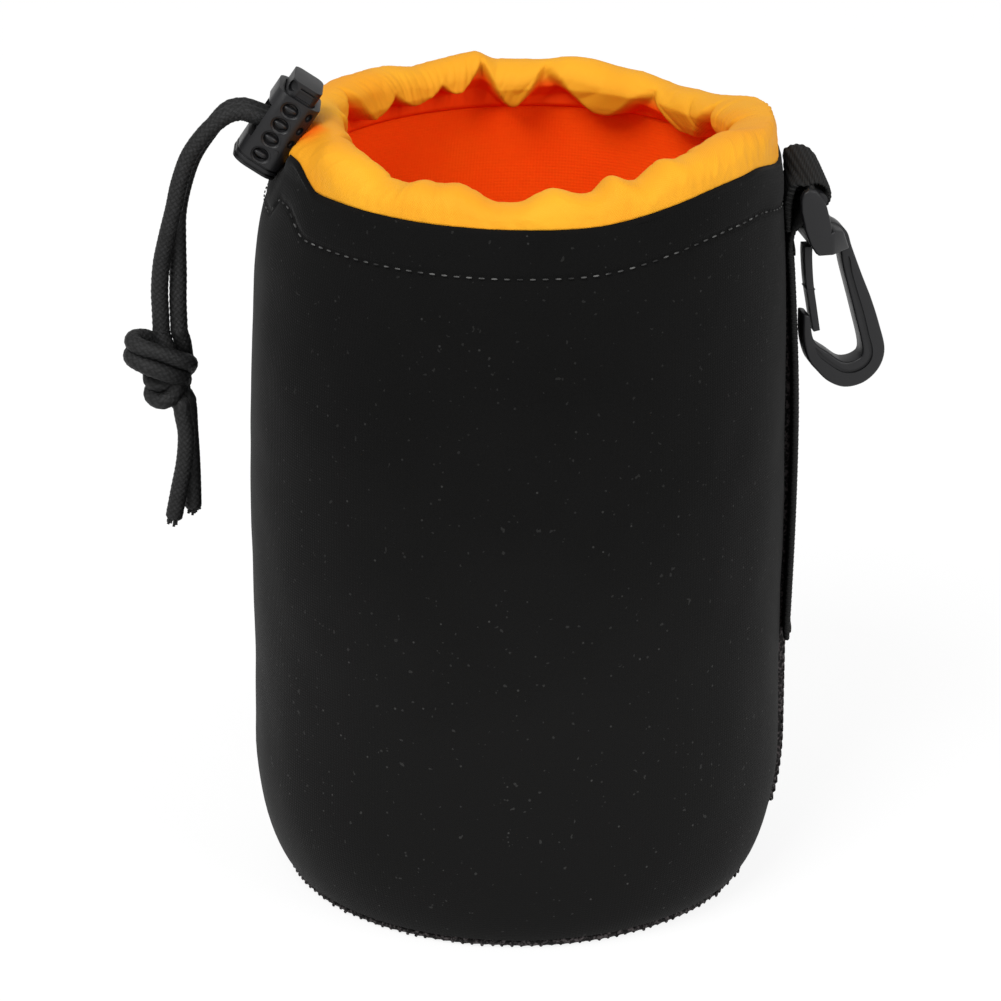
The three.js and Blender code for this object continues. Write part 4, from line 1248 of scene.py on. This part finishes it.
def plate(name, outline, thickness, y=0.0):
    """A flat plate from an outline, extruded through its thickness along Y."""
    made = bpy.data.meshes.new(name)
    made.from_pydata(
        [tuple(p * mm + np.array((0, (y - thickness / 2) * mm, 0))) for p in outline],
        [], [tuple(range(len(outline)))],
    )
    piece = bpy.data.objects.new(name, made)
    bpy.context.scene.collection.objects.link(piece)
    select_only(piece)
    bpy.ops.object.mode_set(mode="EDIT")
    bpy.ops.mesh.select_all(action="SELECT")
    bpy.ops.mesh.extrude_region_move(TRANSFORM_OT_translate={"value": (0, thickness * mm, 0)})
    bpy.ops.mesh.select_all(action="SELECT")
    bpy.ops.mesh.normals_make_consistent(inside=False)
    bpy.ops.object.mode_set(mode="OBJECT")
    return piece


def strip_outline(line, half):
    """The outline of a strip along a line in the hook's plane, half its width to each side."""
    side = sideways(line)
    return np.vstack([line + side * half, (line - side * half)[::-1]])


outer_line = smooth_route(hook_places(outer_shares), 0.55)
inner_line = smooth_route(hook_places(inner_shares), 0.55)
hook = plate("snap_hook_frame", np.vstack([outer_line, inner_line]), hook_thickness)
soften(hook, 0.5, segments=3, angle=60)
groove_shares = [
    (0.4, -0.33), (0.42, -0.404), (0.5, -0.52), (0.577, -0.62), (0.645, -0.73), (0.698, -0.815),
    (0.685, -0.865), (0.61, -0.9), (0.5, -0.918), (0.38, -0.914), (0.28, -0.89), (0.193, -0.862),
    (0.1, -0.828), (0.03, -0.785),
]
groove_line = smooth_route(hook_places(groove_shares), 0.7)
ends = np.minimum(np.arange(len(groove_line)), np.arange(len(groove_line))[::-1])
groove_outline = strip_outline(groove_line, 0.34 * np.sqrt(np.clip(ends / 2.0, 0.05, 1))[:, None])
for side in (-1, 1):
    cut_with(hook, plate("groove", groove_outline, 0.8, side * hook_thickness / 2))
base_shares = [
    (-0.06, -0.273), (-0.07, -0.235), (-0.04, -0.19), (0.15, -0.15), (0.28, -0.175), (0.37, -0.273),
]
shoulders = plate("shoulders", np.array(hook_places(base_shares)), 14.0)
for side in (-1, 1):
    corner_tool = box_piece("shoulder_cut", (12, 8, 12), (6, 0, 0))
    corner_tool.data.transform(
        Matrix.Translation(Vector((53.3, side * 7.0, 117.5)) * mm)
        @ Matrix.Rotation(side * math.radians(-38), 4, "Z")
        @ Matrix.Translation(Vector((0, side * 4.0, 0)) * mm)
    )
    cut_with(shoulders, corner_tool)
soften(shoulders, 0.4, segments=3, angle=30)
cut_with(hook, shoulders, "UNION")
near_cheek = [
    (52.0, 125.2), (51.1, 127.1), (50.0, 128.3), (48.8, 128.6), (47.8, 128.0), (47.3, 126.9),
    (47.4, 124.6), (48.2, 121.1), (49.2, 118.4), (50.3, 116.7), (51.2, 116.35), (52.7, 116.35),
    (53.0, 117.6), (52.9, 121.8),
]
far_cheek = [
    (52.4, 125.4), (51.6, 127.1), (50.6, 128.2), (49.4, 128.5), (48.4, 128.0), (47.9, 126.9),
    (47.9, 124.6), (48.6, 121.1), (49.5, 118.4), (50.5, 116.7), (51.4, 116.35), (52.8, 116.35),
    (53.1, 117.6), (53.0, 121.8),
]
for side, outline in ((-1, near_cheek), (1, far_cheek)):
    cheek = plate("cheek", np.array([(x, 0, z) for x, z in outline]), 1.5, side * 6.25)
    soften(cheek, 0.4, segments=3, angle=60)
    cut_with(hook, cheek, "UNION")
bpy.ops.mesh.primitive_cylinder_add(
    vertices=32, radius=1.3 * mm, depth=12.5 * mm, location=(bar_x * mm, 0, bar_z * mm)
)
bar = bpy.context.object
bar.rotation_euler = (math.pi / 2, 0, 0)
bpy.ops.object.transform_apply(location=True, rotation=True, scale=True)
cut_with(hook, bar, "UNION")
select_only(hook)
bpy.ops.object.shade_smooth_by_angle(angle=math.radians(35))
hook.data.transform(hook_place)
finish_piece(hook, acetal, "plastic_black", "snap_hook", "hook_frame")


# The gate: a thin springy tongue of the same moulding. Its root is at the shoulders,
# its tip rests inside the nose, and it bends inwards to let a ring through.
gate_shares = [(-0.07, -0.2745), (-0.07, -0.33), (-0.045, -0.46), (0.005, -0.59), (0.05, -0.705)]
gate_line = smooth_route(hook_places(gate_shares), 0.6)
taper = np.linspace(0.68, 0.58, len(gate_line))[:, None]
gate = plate("snap_hook_gate", strip_outline(gate_line, taper), 3.2)
weld = box_piece("weld_line", (1.55, 3.4, 0.22), tuple(gate_line[len(gate_line) // 2]))
cut_with(gate, weld, "UNION")
soften(gate, 0.2, segments=2, angle=50)
gate.data.transform(hook_place)
finish_piece(gate, acetal, "plastic_black", "gate", "hook_gate")


# The studio: a pale floor that runs on to the horizon, a bright even sky, one large
# soft lamp above the camera on the left and a weaker one on the right.
bpy.ops.mesh.primitive_plane_add(size=6, location=(0, 0, 0))
floor = bpy.context.object
floor.name = "studio_floor"
floor_finish, floor_shader, floor_place, _ = finish_of(
    "pale_floor", (0.82, 0.82, 0.82), 0.9, Specular_IOR_Level=0.1
)
seen = floor_place.node("ShaderNodeLightPath", out="Is Camera Ray").math(
    "MAXIMUM", floor_place.node("ShaderNodeLightPath", out="Is Glossy Ray")
)
white = seen.node("ShaderNodeEmission", {}, {"Color": (1, 1, 1, 1), "Strength": 1.05})
lit = Signal(seen.tree, floor_shader.outputs[0])
blend = seen.node("ShaderNodeMixShader", {}, {0: seen * 0.82, 1: lit, 2: white})
seen.tree.links.new(blend.socket, seen.tree.nodes["Material Output"].inputs["Surface"])
floor.data.materials.append(floor_finish)

world = bpy.context.scene.world or bpy.data.worlds.new("studio")
bpy.context.scene.world = world
world.use_nodes = True
world_tree = world.node_tree
world_tree.nodes.clear()
world_path = world_tree.nodes.new("ShaderNodeLightPath")
seen = Signal(world_tree, world_path.outputs["Is Camera Ray"])
sky = world_tree.nodes.new("ShaderNodeBackground")
sky.inputs["Color"].default_value = (1, 1, 1, 1)
world_tree.links.new((seen * 0.4 + 0.6).socket, sky.inputs["Strength"])
world_out = world_tree.nodes.new("ShaderNodeOutputWorld")
world_tree.links.new(sky.outputs[0], world_out.inputs["Surface"])


def soft_lamp(name, place, power):
    """A square lamp, 0.7 m wide, that faces the pouch's middle."""
    data = bpy.data.lights.new(name, "AREA")
    data.shape = "SQUARE"
    data.size = 0.7
    data.energy = power
    lamp = bpy.data.objects.new(name, data)
    bpy.context.scene.collection.objects.link(lamp)
    lamp.location = place
    direction = Vector((0, 0, 0.08)) - Vector(place)
    lamp.rotation_euler = direction.to_track_quat("-Z", "Y").to_euler()


soft_lamp("key_lamp", (-0.55, -0.9, 1.35), 18.5)
soft_lamp("fill_lamp", (0.9, -0.8, 0.75), 7)
bpy.context.scene.view_settings.view_transform = "Standard"
